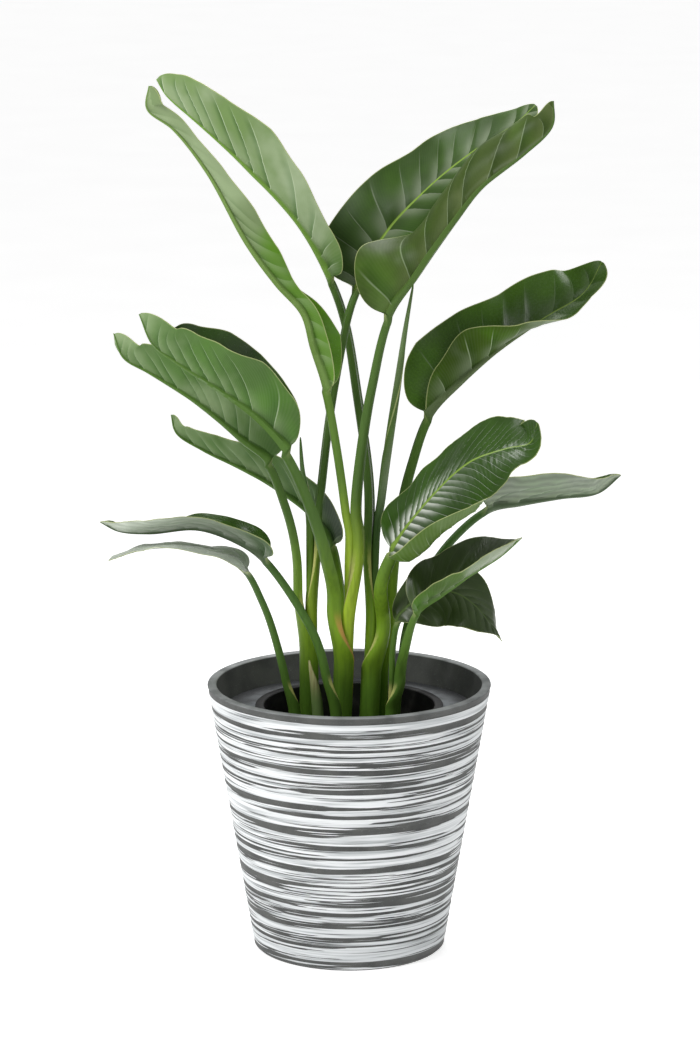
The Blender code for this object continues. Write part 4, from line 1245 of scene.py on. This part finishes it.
@dataclass(frozen=True)
class Turned:
    """A plain turned piece, spun from a profile of (radius, height) points."""

    name: str
    profile: tuple
    sides: int = 160

    def build(self, mat: bpy.types.Material) -> bpy.types.Object:
        """Spin the profile, closed on itself unless it starts on the axis, and dress it."""
        bm = bmesh.new()
        verts = [bm.verts.new((radius, 0.0, height)) for radius, height in self.profile]
        on_axis = self.profile[0][0] == 0.0
        pairs = zip(verts, verts[1:] if on_axis else verts[1:] + verts[:1])
        edges = [bm.edges.new(pair) for pair in pairs]
        bmesh.ops.spin(
            bm,
            geom=verts + edges,
            cent=(0, 0, 0),
            axis=(0, 0, 1),
            dvec=(0, 0, 0),
            angle=math.tau,
            steps=self.sides,
            use_merge=True,
            use_duplicate=False,
        )
        bmesh.ops.remove_doubles(bm, verts=bm.verts, dist=1e-6)
        bmesh.ops.recalc_face_normals(bm, faces=bm.faces)
        return keep(self.name, bm, mat, 35.0)


@dataclass(frozen=True)
class Container:
    """The planter and, in it, the ledge, the nursery pot and the soil."""

    planter: Planter = field(default=Planter())
    ledge_top: float = 0.312
    ledge_bottom: float = 0.306
    ledge_inner: float = 0.1126
    ledge_outer: float = 0.1636
    pot_rim: float = 0.3195
    pot_rim_radius: float = 0.121
    pot_lip: float = 0.009
    pot_lip_depth: float = 0.0072
    pot_height: float = 0.222
    pot_base_radius: float = 0.088
    pot_wall: float = 0.0022
    soil_level: float = 0.272
    soil_crown: float = 0.004

    def pot_radius(self, height: float) -> float:
        """Outer radius of the nursery pot's wall, measured up from its own base."""
        top = self.pot_rim_radius - self.pot_lip
        return self.pot_base_radius + (top - self.pot_base_radius) * height / self.pot_height

    def build(self) -> None:
        """Build and place the four pieces."""
        place_piece(self.planter.build(), Slot.PLANTER, "planter")
        place_piece(self.ledge(), Slot.COLLAR, "collar")
        place_piece(self.pot(), Slot.GROW_POT, "grow_pot")
        place_piece(self.soil(), Slot.SOIL, "soil")

    def ledge(self) -> bpy.types.Object:
        """The ledge, a little rounded at its inner edge."""
        top, bottom = self.ledge_top, self.ledge_bottom
        slope = (self.ledge_outer - 0.0010, bottom)
        profile = (
            slope,
            (self.ledge_outer, top),
            (self.ledge_inner + 0.0015, top),
            (self.ledge_inner + 0.0004, top - 0.0004),
            (self.ledge_inner, top - 0.0015),
            (self.ledge_inner, bottom),
        )
        return Turned("planter_ledge", profile).build(CollarFinish().dress())

    def pot(self) -> bpy.types.Object:
        """The nursery pot with its rolled lip."""
        rim = self.pot_rim
        base = rim - self.pot_height
        lip = self.pot_rim_radius
        under = rim - self.pot_lip_depth
        profile = (
            (0.0, base),
            (self.pot_base_radius - 0.002, base),
            (self.pot_base_radius, base + 0.002),
            (self.pot_radius(self.pot_height - self.pot_lip_depth), under),
            (lip - 0.0006, under),
            (lip, under + 0.0006),
            (lip, rim - 0.0015),
            (lip - 0.0005, rim - 0.0005),
            (lip - 0.0015, rim),
            (self.pot_radius(self.pot_height) - self.pot_wall + 0.001, rim),
            (self.pot_radius(self.pot_height) - self.pot_wall, rim - 0.001),
            (self.pot_radius(self.pot_wall) - self.pot_wall, base + self.pot_wall),
            (0.0, base + self.pot_wall),
        )
        return Turned("nursery_pot", profile).build(PotFinish().dress())

    def soil(self) -> bpy.types.Object:
        """The soil, crumbly on top."""
        bottom = self.pot_rim - self.pot_height + self.pot_wall + 0.0003
        reach = self.pot_radius(self.soil_level - self.pot_rim + self.pot_height) - 0.0028
        foot = self.pot_radius(self.pot_wall) - 0.0028
        profile = [(0.0, bottom), (foot, bottom), (reach, self.soil_level)]
        for ring in range(44, -1, -1):
            share = ring / 45
            level = self.soil_level + self.soil_crown * min(1.0, 2.5 * (1 - share))
            profile.append((reach * share, level))
        piece = Turned("potting_soil", tuple(profile), 140).build(SoilFinish().dress())
        for vert in piece.data.vertices:
            if vert.co.z < self.soil_level - 0.001:
                continue
            spot = vert.co * 90.0
            crumb = noise.noise(spot) + 0.6 * noise.noise(spot * 2.7) + 0.4 * noise.noise(spot * 6.0)
            inward = 1 - smoothstep(0.97, 1.0, np.array(math.hypot(*vert.co.xy) / reach))
            vert.co.z += 0.0028 * crumb * float(inward)
        return piece


BRIGHT = LeafFinish("bright_leaf", under=(0.085, 0.180, 0.036))
RUSTY = LeafFinish(
    "rusty_leaf", under=(0.085, 0.180, 0.036), dry=(0.560, 0.330, 0.090), dry_width=0.0030
)
SHADED = LeafFinish("shaded_leaf", under=(0.085, 0.180, 0.036), lit=(0.016, 0.044, 0.010))
LIGHT = LeafFinish(
    "light_leaf",
    under=(0.165, 0.270, 0.080),
    lit=(0.060, 0.140, 0.018),
    bloom_and_sheen=(0.400, 0.480, 0.310),
    keel=(0.150, 0.280, 0.045),
    crease=(0.600, 0.690, 0.480),
    crease_highlight_share=0.95,
    shadow_share=1.0,
)
FOLDED = LeafFinish(
    "folded_leaf",
    upper=(0.085, 0.210, 0.010),
    under=(0.200, 0.280, 0.120),
    lit=(0.090, 0.220, 0.008),
    keel=(0.150, 0.250, 0.060),
    stalk=(0.110, 0.210, 0.030),
    stalk_low=(0.440, 0.620, 0.045),
    low=0.50,
    high=0.66,
    crease_highlight_share=0.15,
)
OLIVE = LeafFinish(
    "olive_leaf",
    under=(0.050, 0.085, 0.014),
    lit=(0.090, 0.180, 0.025),
    bloom_and_sheen=(0.220, 0.270, 0.110),
    keel=(0.070, 0.130, 0.026),
    stalk_low=(0.440, 0.620, 0.045),
    low=0.46,
    high=0.64,
    crease_highlight_share=0.40,
    rib_sheen=0.20,
)
SATIN = LeafFinish(
    "satin_leaf",
    upper=(0.026, 0.058, 0.007),
    painted_reflection=(0.270, 0.310, 0.220),
    reflection_share=0.50,
    reflection_reach=0.040,
    stalk_low=(0.360, 0.520, 0.035),
    gloss=0.40,
    shine=0.14,
)
DEEP = LeafFinish(
    "deep_leaf",
    upper=(0.031, 0.072, 0.006),
    under=(0.050, 0.098, 0.008),
    bloom_and_sheen=(0.300, 0.350, 0.250),
    painted_reflection=(0.190, 0.240, 0.150),
    keel=(0.100, 0.140, 0.060),
    midrib=(0.200, 0.300, 0.060),
    gloss=0.27,
    shine=0.30,
    under_shine=0.05,
)
GLOSSY = LeafFinish(
    "glossy_leaf",
    under=(0.080, 0.150, 0.022),
    # Near-white painted reflection: glints painted near the rib of the blade's lower part
    painted_reflection=(0.800, 0.830, 0.760),
    reflection_share=0.90,
    reflection_reach=0.028,
    reflection_end=0.66,
    gloss=0.32,
    shine=0.40,
)
DARK = LeafFinish(
    "dark_leaf",
    upper=(0.027, 0.048, 0.010),
    under=(0.085, 0.155, 0.035),
    bloom_and_sheen=(0.300, 0.350, 0.250),
    painted_reflection=(0.150, 0.190, 0.110),
    midrib=(0.080, 0.130, 0.034),
    stalk=(0.045, 0.105, 0.022),
    stalk_low=(0.110, 0.220, 0.030),
    foot=(0.080, 0.170, 0.022),
    gloss=0.34,
)
PALE = LeafFinish(
    "pale_leaf",
    under=(0.290, 0.340, 0.260),
    crease=(0.500, 0.550, 0.470),
    keel=(0.090, 0.130, 0.070),
    stalk=(0.045, 0.105, 0.022),
    stalk_low=(0.075, 0.165, 0.022),
    foot=(0.080, 0.170, 0.022),
    streaks=0.6,
)
FROSTED = LeafFinish(
    "frosted_leaf",
    under=(0.330, 0.390, 0.290),
    lit=(0.050, 0.105, 0.030),
    bloom_and_sheen=(0.600, 0.650, 0.560),
    crease=(0.600, 0.650, 0.570),
    keel=(0.090, 0.130, 0.070),
    stalk=(0.045, 0.105, 0.022),
    stalk_low=(0.075, 0.165, 0.022),
    foot=(0.080, 0.170, 0.022),
    streaks=0.35,
)
GREY = LeafFinish(
    "grey_leaf",
    upper=(0.460, 0.510, 0.430),
    under=(0.520, 0.570, 0.480),
    bloom_and_sheen=(0.700, 0.740, 0.670),
    crease=(0.600, 0.650, 0.570),
    painted_reflection=(0.500, 0.540, 0.470),
    midrib=(0.250, 0.300, 0.220),
    keel=(0.120, 0.150, 0.100),
    stalk=(0.045, 0.105, 0.022),
    stalk_low=(0.075, 0.165, 0.022),
    foot=(0.080, 0.170, 0.022),
    streaks=0.4,
)


LEAVES = (
    Leaf(
        "leaf_top_left",
        route=((0.025, 0.030, 0.604), (0.010, 0.048, 0.715), (-0.006, 0.057, 0.808)),
        blade=(
            (-0.023, 0.048, 0.867),
            (-0.062, 0.054, 0.934),
            (-0.131, 0.073, 1.005),
            (-0.189, 0.088, 1.056),
            (-0.231, 0.100, 1.091),
            (-0.245, 0.106, 1.112),
        ),
        front=Half(
            0.062,
            rise=(50, 55, 65, 60, 50),
            roll=(20, 10, 0, 0, 10),
            trim=(0.62, 0.64, 0.97, 1.15, 1.04, 0.99, 1.15),
        ),
        back=Half(
            0.055,
            rise=(-12, -14, -14, -14, -12),
            trim=(0.12, 0.30, 0.75, 1.0, 1.0, 1.0, 1.0),
        ),
        shoot=SHOOT_RIGHT,
        clasp=0.0056,
        wall=SHEATH_WALL,
        stalk=(0.0068, 0.0050),
        sheath_top=0.53,
        widest=0.50,
        taper=4.0,
        blunt=0.5,
        finish=LIGHT,
        pleats=11,
        slant=1.0,
        tint=(1.0, -0.4, -0.4, -0.2, -0.1, -0.3, -0.2),
    ),
    Leaf(
        "leaf_top_right_back",
        route=(
            (-0.035, 0.019, 0.606),
            (-0.024, 0.018, 0.697),
            (-0.007, 0.023, 0.791),
            (-0.001, 0.029, 0.818),
        ),
        blade=(
            (0.009, 0.063, 0.851),
            (0.045, 0.080, 0.916),
            (0.094, 0.088, 0.969),
            (0.154, 0.099, 1.018),
            (0.215, 0.107, 1.058),
            (0.238, 0.110, 1.079),
        ),
        front=Half(0.058, rise=(-10, -30, -30, -25, -20), roll=(20, 0, 0, 0, 0)),
        back=Half(
            0.068,
            rise=(78, 60, 40, 22, 15),
            trim=(0.95, 1.0, 0.98, 0.90, 0.95, 0.82, 0.8),
        ),
        shoot=SHOOT_LEFT,
        clasp=0.0060,
        wall=SHEATH_WALL,
        stalk=(0.0058, 0.0046),
        sheath_top=0.55,
        finish=SATIN,
        pleats=12,
        slant=0.4,
    ),
    Leaf(
        "leaf_top_right_front",
        route=((0.008, -0.016, 0.575), (0.015, -0.026, 0.656), (0.029, -0.034, 0.741)),
        blade=(
            (0.048, -0.045, 0.833),
            (0.080, -0.052, 0.880),
            (0.123, -0.059, 0.943),
            (0.164, -0.063, 0.995),
            (0.216, -0.067, 1.036),
            (0.249, -0.070, 1.070),
            (0.250, -0.070, 1.101),
        ),
        front=Half(
            0.070,
            rise=(45, 105, 90, 80, 70),
            roll=(0, 85, 110, 110, 60),
            trim=(1.15, 1.12, 0.85, 0.9, 1.0, 0.93, 0.6),
            lobe=0.005,
        ),
        back=Half(0.058, rise=(25, 8, 5, 5, 15), lobe=0.03),
        shoot=SHOOT_MIDDLE,
        clasp=0.0064,
        wall=SHEATH_WALL,
        stalk=(0.0078, 0.0054),
        sheath_top=0.53,
        base=0.16,
        widest=0.40,
        finish=OLIVE,
        pleats=8,
        slant=0.9,
        tint=(0.6, 0.3, 0.1, 0.0, 0.1, 0.1, 0.1),
    ),
    Leaf(
        "leaf_far_left_folded",
        route=((-0.005, -0.013, 0.575), (-0.017, -0.020, 0.662)),
        blade=(
            (-0.027, -0.030, 0.739),
            (-0.043, -0.032, 0.789),
            (-0.056, -0.034, 0.833),
            (-0.089, -0.038, 0.871),
            (-0.126, -0.043, 0.922),
            (-0.175, -0.049, 1.011),
            (-0.216, -0.054, 1.064),
            (-0.248, -0.059, 1.090),
            (-0.245, -0.063, 1.119),
        ),
        front=Half(
            0.043,
            rise=(60, 70, 78, 78, 80, 80, 80, 70, 50),
            roll=(5, 5, 20, 20, 20, 30, 30, 30, 20),
            trim=(0.40, 0.45, 0.33, 0.64, 0.67, 0.46, 0.34, 0.42, 0.80),
        ),
        back=Half(
            0.041,
            rise=(55, 60, 62, 62, 62, 62, 65, 70, 75),
            trim=(0.85, 1.05, 0.40, 0.55, 0.65, 0.50, 0.36, 0.46, 0.80),
        ),
        shoot=SHOOT_MIDDLE,
        clasp=CORE_CLASP,
        wall=CORE_DEPTH,
        stalk=(0.0058, 0.0056),
        sheath_top=0.53,
        base=0.14,
        widest=0.80,
        finish=FOLDED,
        pleats=14,
        slant=-4.0,
        pleat=0.0010,
        ripple=0.0006,
        tint=(0.9, 0.9, 1.0, 1.0, -0.2, -0.8, -0.8, -0.6, 0.0),
    ),
    Leaf(
        "leaf_right_upper",
        route=(
            (0.046, 0.034, FOOT_LEVEL),
            (0.055, 0.036, 0.477),
            (0.066, 0.038, 0.561),
            (0.080, 0.041, 0.622),
        ),
        blade=(
            (0.101, 0.046, 0.690),
            (0.142, 0.050, 0.733),
            (0.192, 0.054, 0.775),
            (0.253, 0.058, 0.815),
            (0.299, 0.062, 0.844),
            (0.322, 0.065, 0.884),
        ),
        front=Half(
            0.055,
            rise=(80, 62, 0, -30, -45),
            roll=(40, 50, 50, 20, 0),
            trim=(0.10, 0.64, 0.98, 1.0, 0.86, 0.45, 0.80),
        ),
        back=Half(
            0.068,
            rise=(55, 58, 48, 42, 28),
            roll=(10, 20, 10, 0, 0),
            trim=(0.74, 1.12, 1.05, 0.92, 1.0, 1.0, 0.85),
            lobe=0.03,
        ),
        stalk=(0.0080, 0.0055),
        sheath_top=0.42,
        finish=DEEP,
        pleats=9,
        slant=0.3,
        pleat=0.0014,
        tint=(0.2, 0.1, 0.0, 0.0, -0.5, -1.0, -1.0),
    ),
    Leaf(
        "leaf_right_middle",
        route=((0.042, -0.028, 0.484),),
        blade=(
            (0.053, -0.044, 0.532),
            (0.101, -0.075, 0.605),
            (0.150, -0.095, 0.655),
            (0.195, -0.110, 0.675),
            (0.224, -0.118, 0.684),
            (0.232, -0.122, 0.710),
        ),
        front=Half(
            0.092,
            rise=(-75, -84, -78, -60, -50),
            roll=(70, 60, 15, 15, 0),
            curl=(130, 135, 125, 30, 0),
            trim=(0.8, 1.0, 1.0, 1.0, 0.84, 0.36, 0.25),
            lobe=0.0,
        ),
        back=Half(
            0.066,
            rise=(55, 40, 35, 40, 50),
            trim=(0.85, 0.88, 0.93, 0.97, 0.95, 0.74, 0.85),
        ),
        shoot=SHOOT_RIGHT,
        clasp=0.0107,
        wall=SHEATH_WALL,
        stalk=(0.0088, 0.0076),
        sheath_top=0.42,
        widest=0.60,
        blunt=0.5,
        finish=GLOSSY,
        pleats=24,
        slant=0.7,
        pleat=0.0026,
    ),
    Leaf(
        "leaf_right_low",
        route=(
            (0.060, -0.006, FOOT_LEVEL),
            (0.066, 0.002, 0.340),
            (0.074, 0.012, 0.414),
            (0.096, 0.040, 0.471),
            (0.133, 0.058, 0.523),
        ),
        blade=(
            (0.179, 0.065, 0.563),
            (0.221, 0.070, 0.570),
            (0.273, 0.077, 0.576),
            (0.322, 0.085, 0.580),
            (0.352, 0.090, 0.602),
        ),
        front=Half(0.048, rise=(50, 46, 45, 40, 35), roll=(20, 20, 10, 0, 0)),
        back=Half(0.050, rise=(20, 20, 20, 20, 20)),
        sheath_top=0.37,
        widest=0.30,
        taper=3.0,
        blunt=0.75,
        finish=PALE,
        pleats=5,
        slant=3.0,
        pleat=0.0032,
    ),
    Leaf(
        "leaf_front_right",
        route=((0.071, -0.050, 0.407),),
        blade=(
            (0.084, -0.060, 0.456),
            (0.114, -0.068, 0.480),
            (0.153, -0.076, 0.509),
            (0.189, -0.084, 0.533),
            (0.216, -0.090, 0.558),
        ),
        front=Half(
            0.048,
            rise=(15, 3, -8, 2, 15),
            roll=(60, 50, 45, 40, 20),
            trim=(0.5, 1, 1),
            lobe=0.0,
        ),
        back=Half(0.062, rise=(60, 40, 38, 22, 8), lobe=0.0),
        shoot=SHOOT_FRONT,
        clasp=0.0064,
        wall=SHEATH_WALL,
        stalk=(0.0074, 0.0045),
        sheath_top=0.36,
        base=0.2,
        widest=0.27,
        blunt=1.0,
        finish=DARK,
        pleats=9,
        tint=(0.4, 0.2, -0.1, -0.6, -1.0, -1.0),
    ),
    Leaf(
        "leaf_drooping",
        route=((0.056, -0.029, 0.405),),
        blade=(
            (0.060, -0.026, 0.436),
            (0.079, -0.024, 0.458),
            (0.111, -0.022, 0.473),
            (0.138, -0.022, 0.470),
            (0.160, -0.024, 0.455),
            (0.178, -0.028, 0.434),
            (0.195, -0.032, 0.410),
        ),
        front=Half(0.049, rise=(-40, -72, -62, -35, 0), trim=(0.8, 0.94, 0.94, 1, 1), lobe=0.0),
        back=Half(0.050, rise=(10, 30, 40, 20, 0), lobe=0.03),
        shoot=SHOOT_FRONT,
        clasp=CORE_CLASP,
        wall=CORE_DEPTH,
        stalk=(0.0046, 0.0040),
        sheath_top=0.36,
        base=0.35,
        widest=0.45,
        taper=2.2,
        blunt=1.0,
        finish=DARK,
        pleats=11,
    ),
    Leaf(
        "leaf_left_upper",
        route=((-0.029, -0.030, 0.521), (-0.054, -0.042, 0.600)),
        blade=(
            (-0.079, -0.052, 0.664),
            (-0.114, -0.058, 0.705),
            (-0.166, -0.064, 0.744),
            (-0.218, -0.070, 0.779),
            (-0.243, -0.073, 0.799),
            (-0.260, -0.075, 0.838),
        ),
        front=Half(
            0.062,
            rise=(90, 75, 60, 58, 58),
            roll=(10, 5, 0, 5, 10),
            trim=(0.46, 0.79, 1.02, 0.94, 0.88, 0.78, 0.75),
        ),
        back=Half(
            0.068,
            rise=(45, 62, 78, 80, 80),
            trim=(0.72, 0.88, 1.02, 1.0, 0.80, 0.56, 0.45),
        ),
        shoot=SHOOT_MIDDLE,
        clasp=0.0115,
        wall=SHEATH_WALL,
        stalk=(0.0098, 0.0070),
        sheath_top=0.45,
        blunt=0.5,
        finish=RUSTY,
        pleats=10,
        slant=1.2,
        tint=(0.1, 0.0, 0.0, 0.0, 0.0, -0.1, -0.7),
    ),
    Leaf(
        "leaf_left_middle",
        route=((-0.069, 0.004, 0.528), (-0.082, 0.000, 0.581)),
        blade=(
            (-0.102, 0.000, 0.639),
            (-0.133, 0.000, 0.665),
            (-0.190, -0.002, 0.713),
            (-0.251, -0.005, 0.752),
            (-0.284, -0.007, 0.772),
            (-0.296, -0.009, 0.803),
        ),
        front=Half(
            0.048,
            rise=(80, 72, 66, 66, 68),
            roll=(10, 0, 0, 5, 10),
            trim=(0.84, 0.95, 1.0, 0.95, 0.9, 0.82, 0.80),
        ),
        back=Half(0.050, rise=(-6, -8, -8, -8, -6)),
        shoot=SHOOT_LEFT,
        clasp=0.0111,
        wall=SHEATH_WALL,
        stalk=(0.0068, 0.0060),
        sheath_top=0.47,
        blunt=0.5,
        finish=BRIGHT,
        pleats=11,
        slant=1.2,
        tint=(0.2, -0.3, -0.4, -0.2, -0.1, -0.2, -0.7),
    ),
    Leaf(
        "leaf_left_lower",
        route=(
            (-0.012, 0.034, FOOT_LEVEL),
            (-0.010, 0.034, 0.424),
            (-0.016, 0.039, 0.482),
        ),
        blade=(
            (-0.020, 0.046, 0.519),
            (-0.040, 0.055, 0.550),
            (-0.080, 0.060, 0.583),
            (-0.128, 0.065, 0.611),
            (-0.190, 0.070, 0.640),
            (-0.222, 0.074, 0.660),
            (-0.229, 0.076, 0.684),
        ),
        front=Half(
            0.048,
            rise=(42, 60, 70, 70, 65),
            roll=(10, 0, 0, 0, 0),
            trim=(0.80, 0.92, 0.95, 0.84, 0.66, 0.56, 0.60),
        ),
        back=Half(0.045, rise=(-10, -15, -15, -15, -10)),
        stalk=(0.0068, 0.0058),
        sheath_top=0.42,
        blunt=0.5,
        finish=SHADED,
        pleats=10,
        slant=1.2,
        tint=(1.2, 0.9, -0.1, -0.2, -0.3, -0.3, -0.2, -0.3),
    ),
    Leaf(
        "leaf_low_left_upper",
        route=(
            (-0.018, -0.050, FOOT_LEVEL),
            (-0.021, -0.052, 0.310),
            (-0.038, -0.056, 0.408),
            (-0.062, -0.064, 0.460),
        ),
        blade=(
            (-0.106, -0.075, 0.529),
            (-0.137, -0.078, 0.551),
            (-0.189, -0.082, 0.569),
            (-0.250, -0.088, 0.564),
            (-0.288, -0.092, 0.567),
            (-0.311, -0.095, 0.579),
        ),
        front=Half(0.047, rise=(34, 27, 30, 36, 42), trim=(0.8, 1, 1), lobe=0.03),
        back=Half(0.050, rise=(30, 18, 0, 8, 14), lobe=0.03),
        stalk=(0.0060, 0.0048),
        sheath_top=0.375,
        widest=0.30,
        blunt=0.9,
        finish=FROSTED,
        pleats=8,
        slant=2.5,
        tint=(1.0, 0.4, -0.3, -0.8, -0.8, -0.2),
    ),
    Leaf(
        "leaf_low_left_lower",
        route=(
            (-0.070, -0.036, FOOT_LEVEL),
            (-0.078, -0.041, 0.345),
            (-0.097, -0.050, 0.429),
            (-0.111, -0.062, 0.471),
        ),
        blade=(
            (-0.128, -0.075, 0.513),
            (-0.157, -0.084, 0.537),
            (-0.211, -0.095, 0.549),
            (-0.261, -0.105, 0.546),
            (-0.300, -0.115, 0.534),
        ),
        front=Half(0.045, rise=(-12, -6, 6, 10, 15), trim=(0.45, 0.8, 1, 1, 1), lobe=0.0),
        back=Half(0.040, rise=(25, -3, -6, -5, 0), lobe=0.04),
        stalk=(0.0052, 0.0042),
        sheath_top=0.365,
        widest=0.30,
        blunt=0.9,
        finish=GREY,
        pleats=8,
        slant=2.5,
        tint=(-0.2, -0.5, -0.7, -0.6, 0.0),
    ),
)

SPEARS = (
    Spear(
        "spear_tall",
        shoot=SHOOT_RIGHT,
        sheath_top=0.53,
        route=(
            (0.041, 0.023, 0.582),
            (0.047, 0.023, 0.632),
            (0.062, 0.022, 0.738),
            (0.071, 0.022, 0.802),
            (0.081, 0.022, 0.861),
        ),
        finish=DARK,
        roll_radius=0.0068,
        point=0.42,
        swell=1.0,
    ),
    Spear(
        "spear_short",
        shoot=SHOOT_LEFT,
        sheath_top=0.55,
        route=((-0.055, 0.011, 0.590), (-0.060, 0.009, 0.631), (-0.062, 0.008, 0.667)),
        finish=BRIGHT,
    ),
)


@dataclass(frozen=True)
class Light:
    """A soft panel light: its place, what it faces, its size in metres and its power in watts."""

    name: str
    place: Point
    aim: Point
    size: tuple[float, float]
    power: float

    def build(self) -> None:
        """Hang the light."""
        panel = bpy.data.lights.new(self.name, "AREA")
        panel.shape = "RECTANGLE"
        panel.size, panel.size_y = self.size
        panel.energy = self.power
        holder = bpy.data.objects.new(self.name, panel)
        holder.location = self.place
        away = Vector(self.place) - Vector(self.aim)
        holder.rotation_euler = away.to_track_quat("Z", "Y").to_euler()
        bpy.context.scene.collection.objects.link(holder)


@dataclass(frozen=True)
class Studio:
    """Pale floor, white surroundings, soft panels and the camera."""

    camera_place: Point = (0.001, -4.6, 1.529)
    camera_pitch: float = 11.96
    lens: float = 126.5
    sensor: float = 36.0
    floor_size: float = 30.0
    surroundings: float = 0.30
    lights: tuple = (
        Light("key_panel", (-1.5, -1.3, 2.9), (0.0, 0.0, 0.6), (0.9, 0.9), 46.0),
        Light("left_panel", (-2.6, -1.4, 1.1), (0.0, 0.0, 0.75), (0.5, 1.3), 9.0),
        Light("top_panel", (0.0, 0.6, 2.7), (0.1, 0.0, 0.5), (1.1, 0.7), 22.0),
        Light("fill_panel", (2.3, -2.0, 1.5), (0.0, 0.0, 0.5), (1.8, 1.8), 3.0),
        Light("back_panel", (0.3, 1.6, 2.6), (0.0, 0.0, 0.8), (1.2, 0.8), 16.0),
    )

    def build(self) -> None:
        """Set up the floor, the surroundings, the lights and the camera."""
        bm = bmesh.new()
        bmesh.ops.create_grid(bm, x_segments=4, y_segments=4, size=self.floor_size)
        keep("studio_floor", bm, FloorFinish().dress())
        world = bpy.data.worlds.new("white_surroundings")
        world.use_nodes = True
        nodes, links = world.node_tree.nodes, world.node_tree.links
        backdrop = nodes["Background"]
        backdrop.inputs["Color"].default_value = (1.0, 1.0, 1.0, 1.0)
        seen = nodes.new("ShaderNodeLightPath")
        level = nodes.new("ShaderNodeMapRange")
        level.inputs["To Min"].default_value = self.surroundings
        links.new(seen.outputs["Is Camera Ray"], level.inputs["Value"])
        links.new(level.outputs["Result"], backdrop.inputs["Strength"])
        scene = bpy.context.scene
        scene.world = world
        scene.view_settings.view_transform = "Standard"
        for light in self.lights:
            light.build()
        view = bpy.data.cameras.new("camera")
        view.sensor_fit = "VERTICAL"
        view.sensor_height = self.sensor
        view.lens = self.lens
        holder = bpy.data.objects.new("camera", view)
        holder.location = self.camera_place
        holder.rotation_euler = (math.radians(90.0 - self.camera_pitch), 0.0, 0.0)
        scene.collection.objects.link(holder)
        scene.camera = holder


def main() -> None:
    """Build the studio, the container and the plant, and report each piece."""
    logging.basicConfig(level=logging.INFO, format="%(message)s")
    Studio().build()
    Container().build()
    for leaf in LEAVES:
        place_piece(leaf.build(), Slot.LEAF, leaf.name)
    for spear in SPEARS:
        place_piece(spear.build(), Slot.LEAF, spear.name)
    husk = SpentSheath()
    place_piece(husk.build(), Slot.DRY_SHEATH, husk.name)


if __name__ == "__main__":
    main()
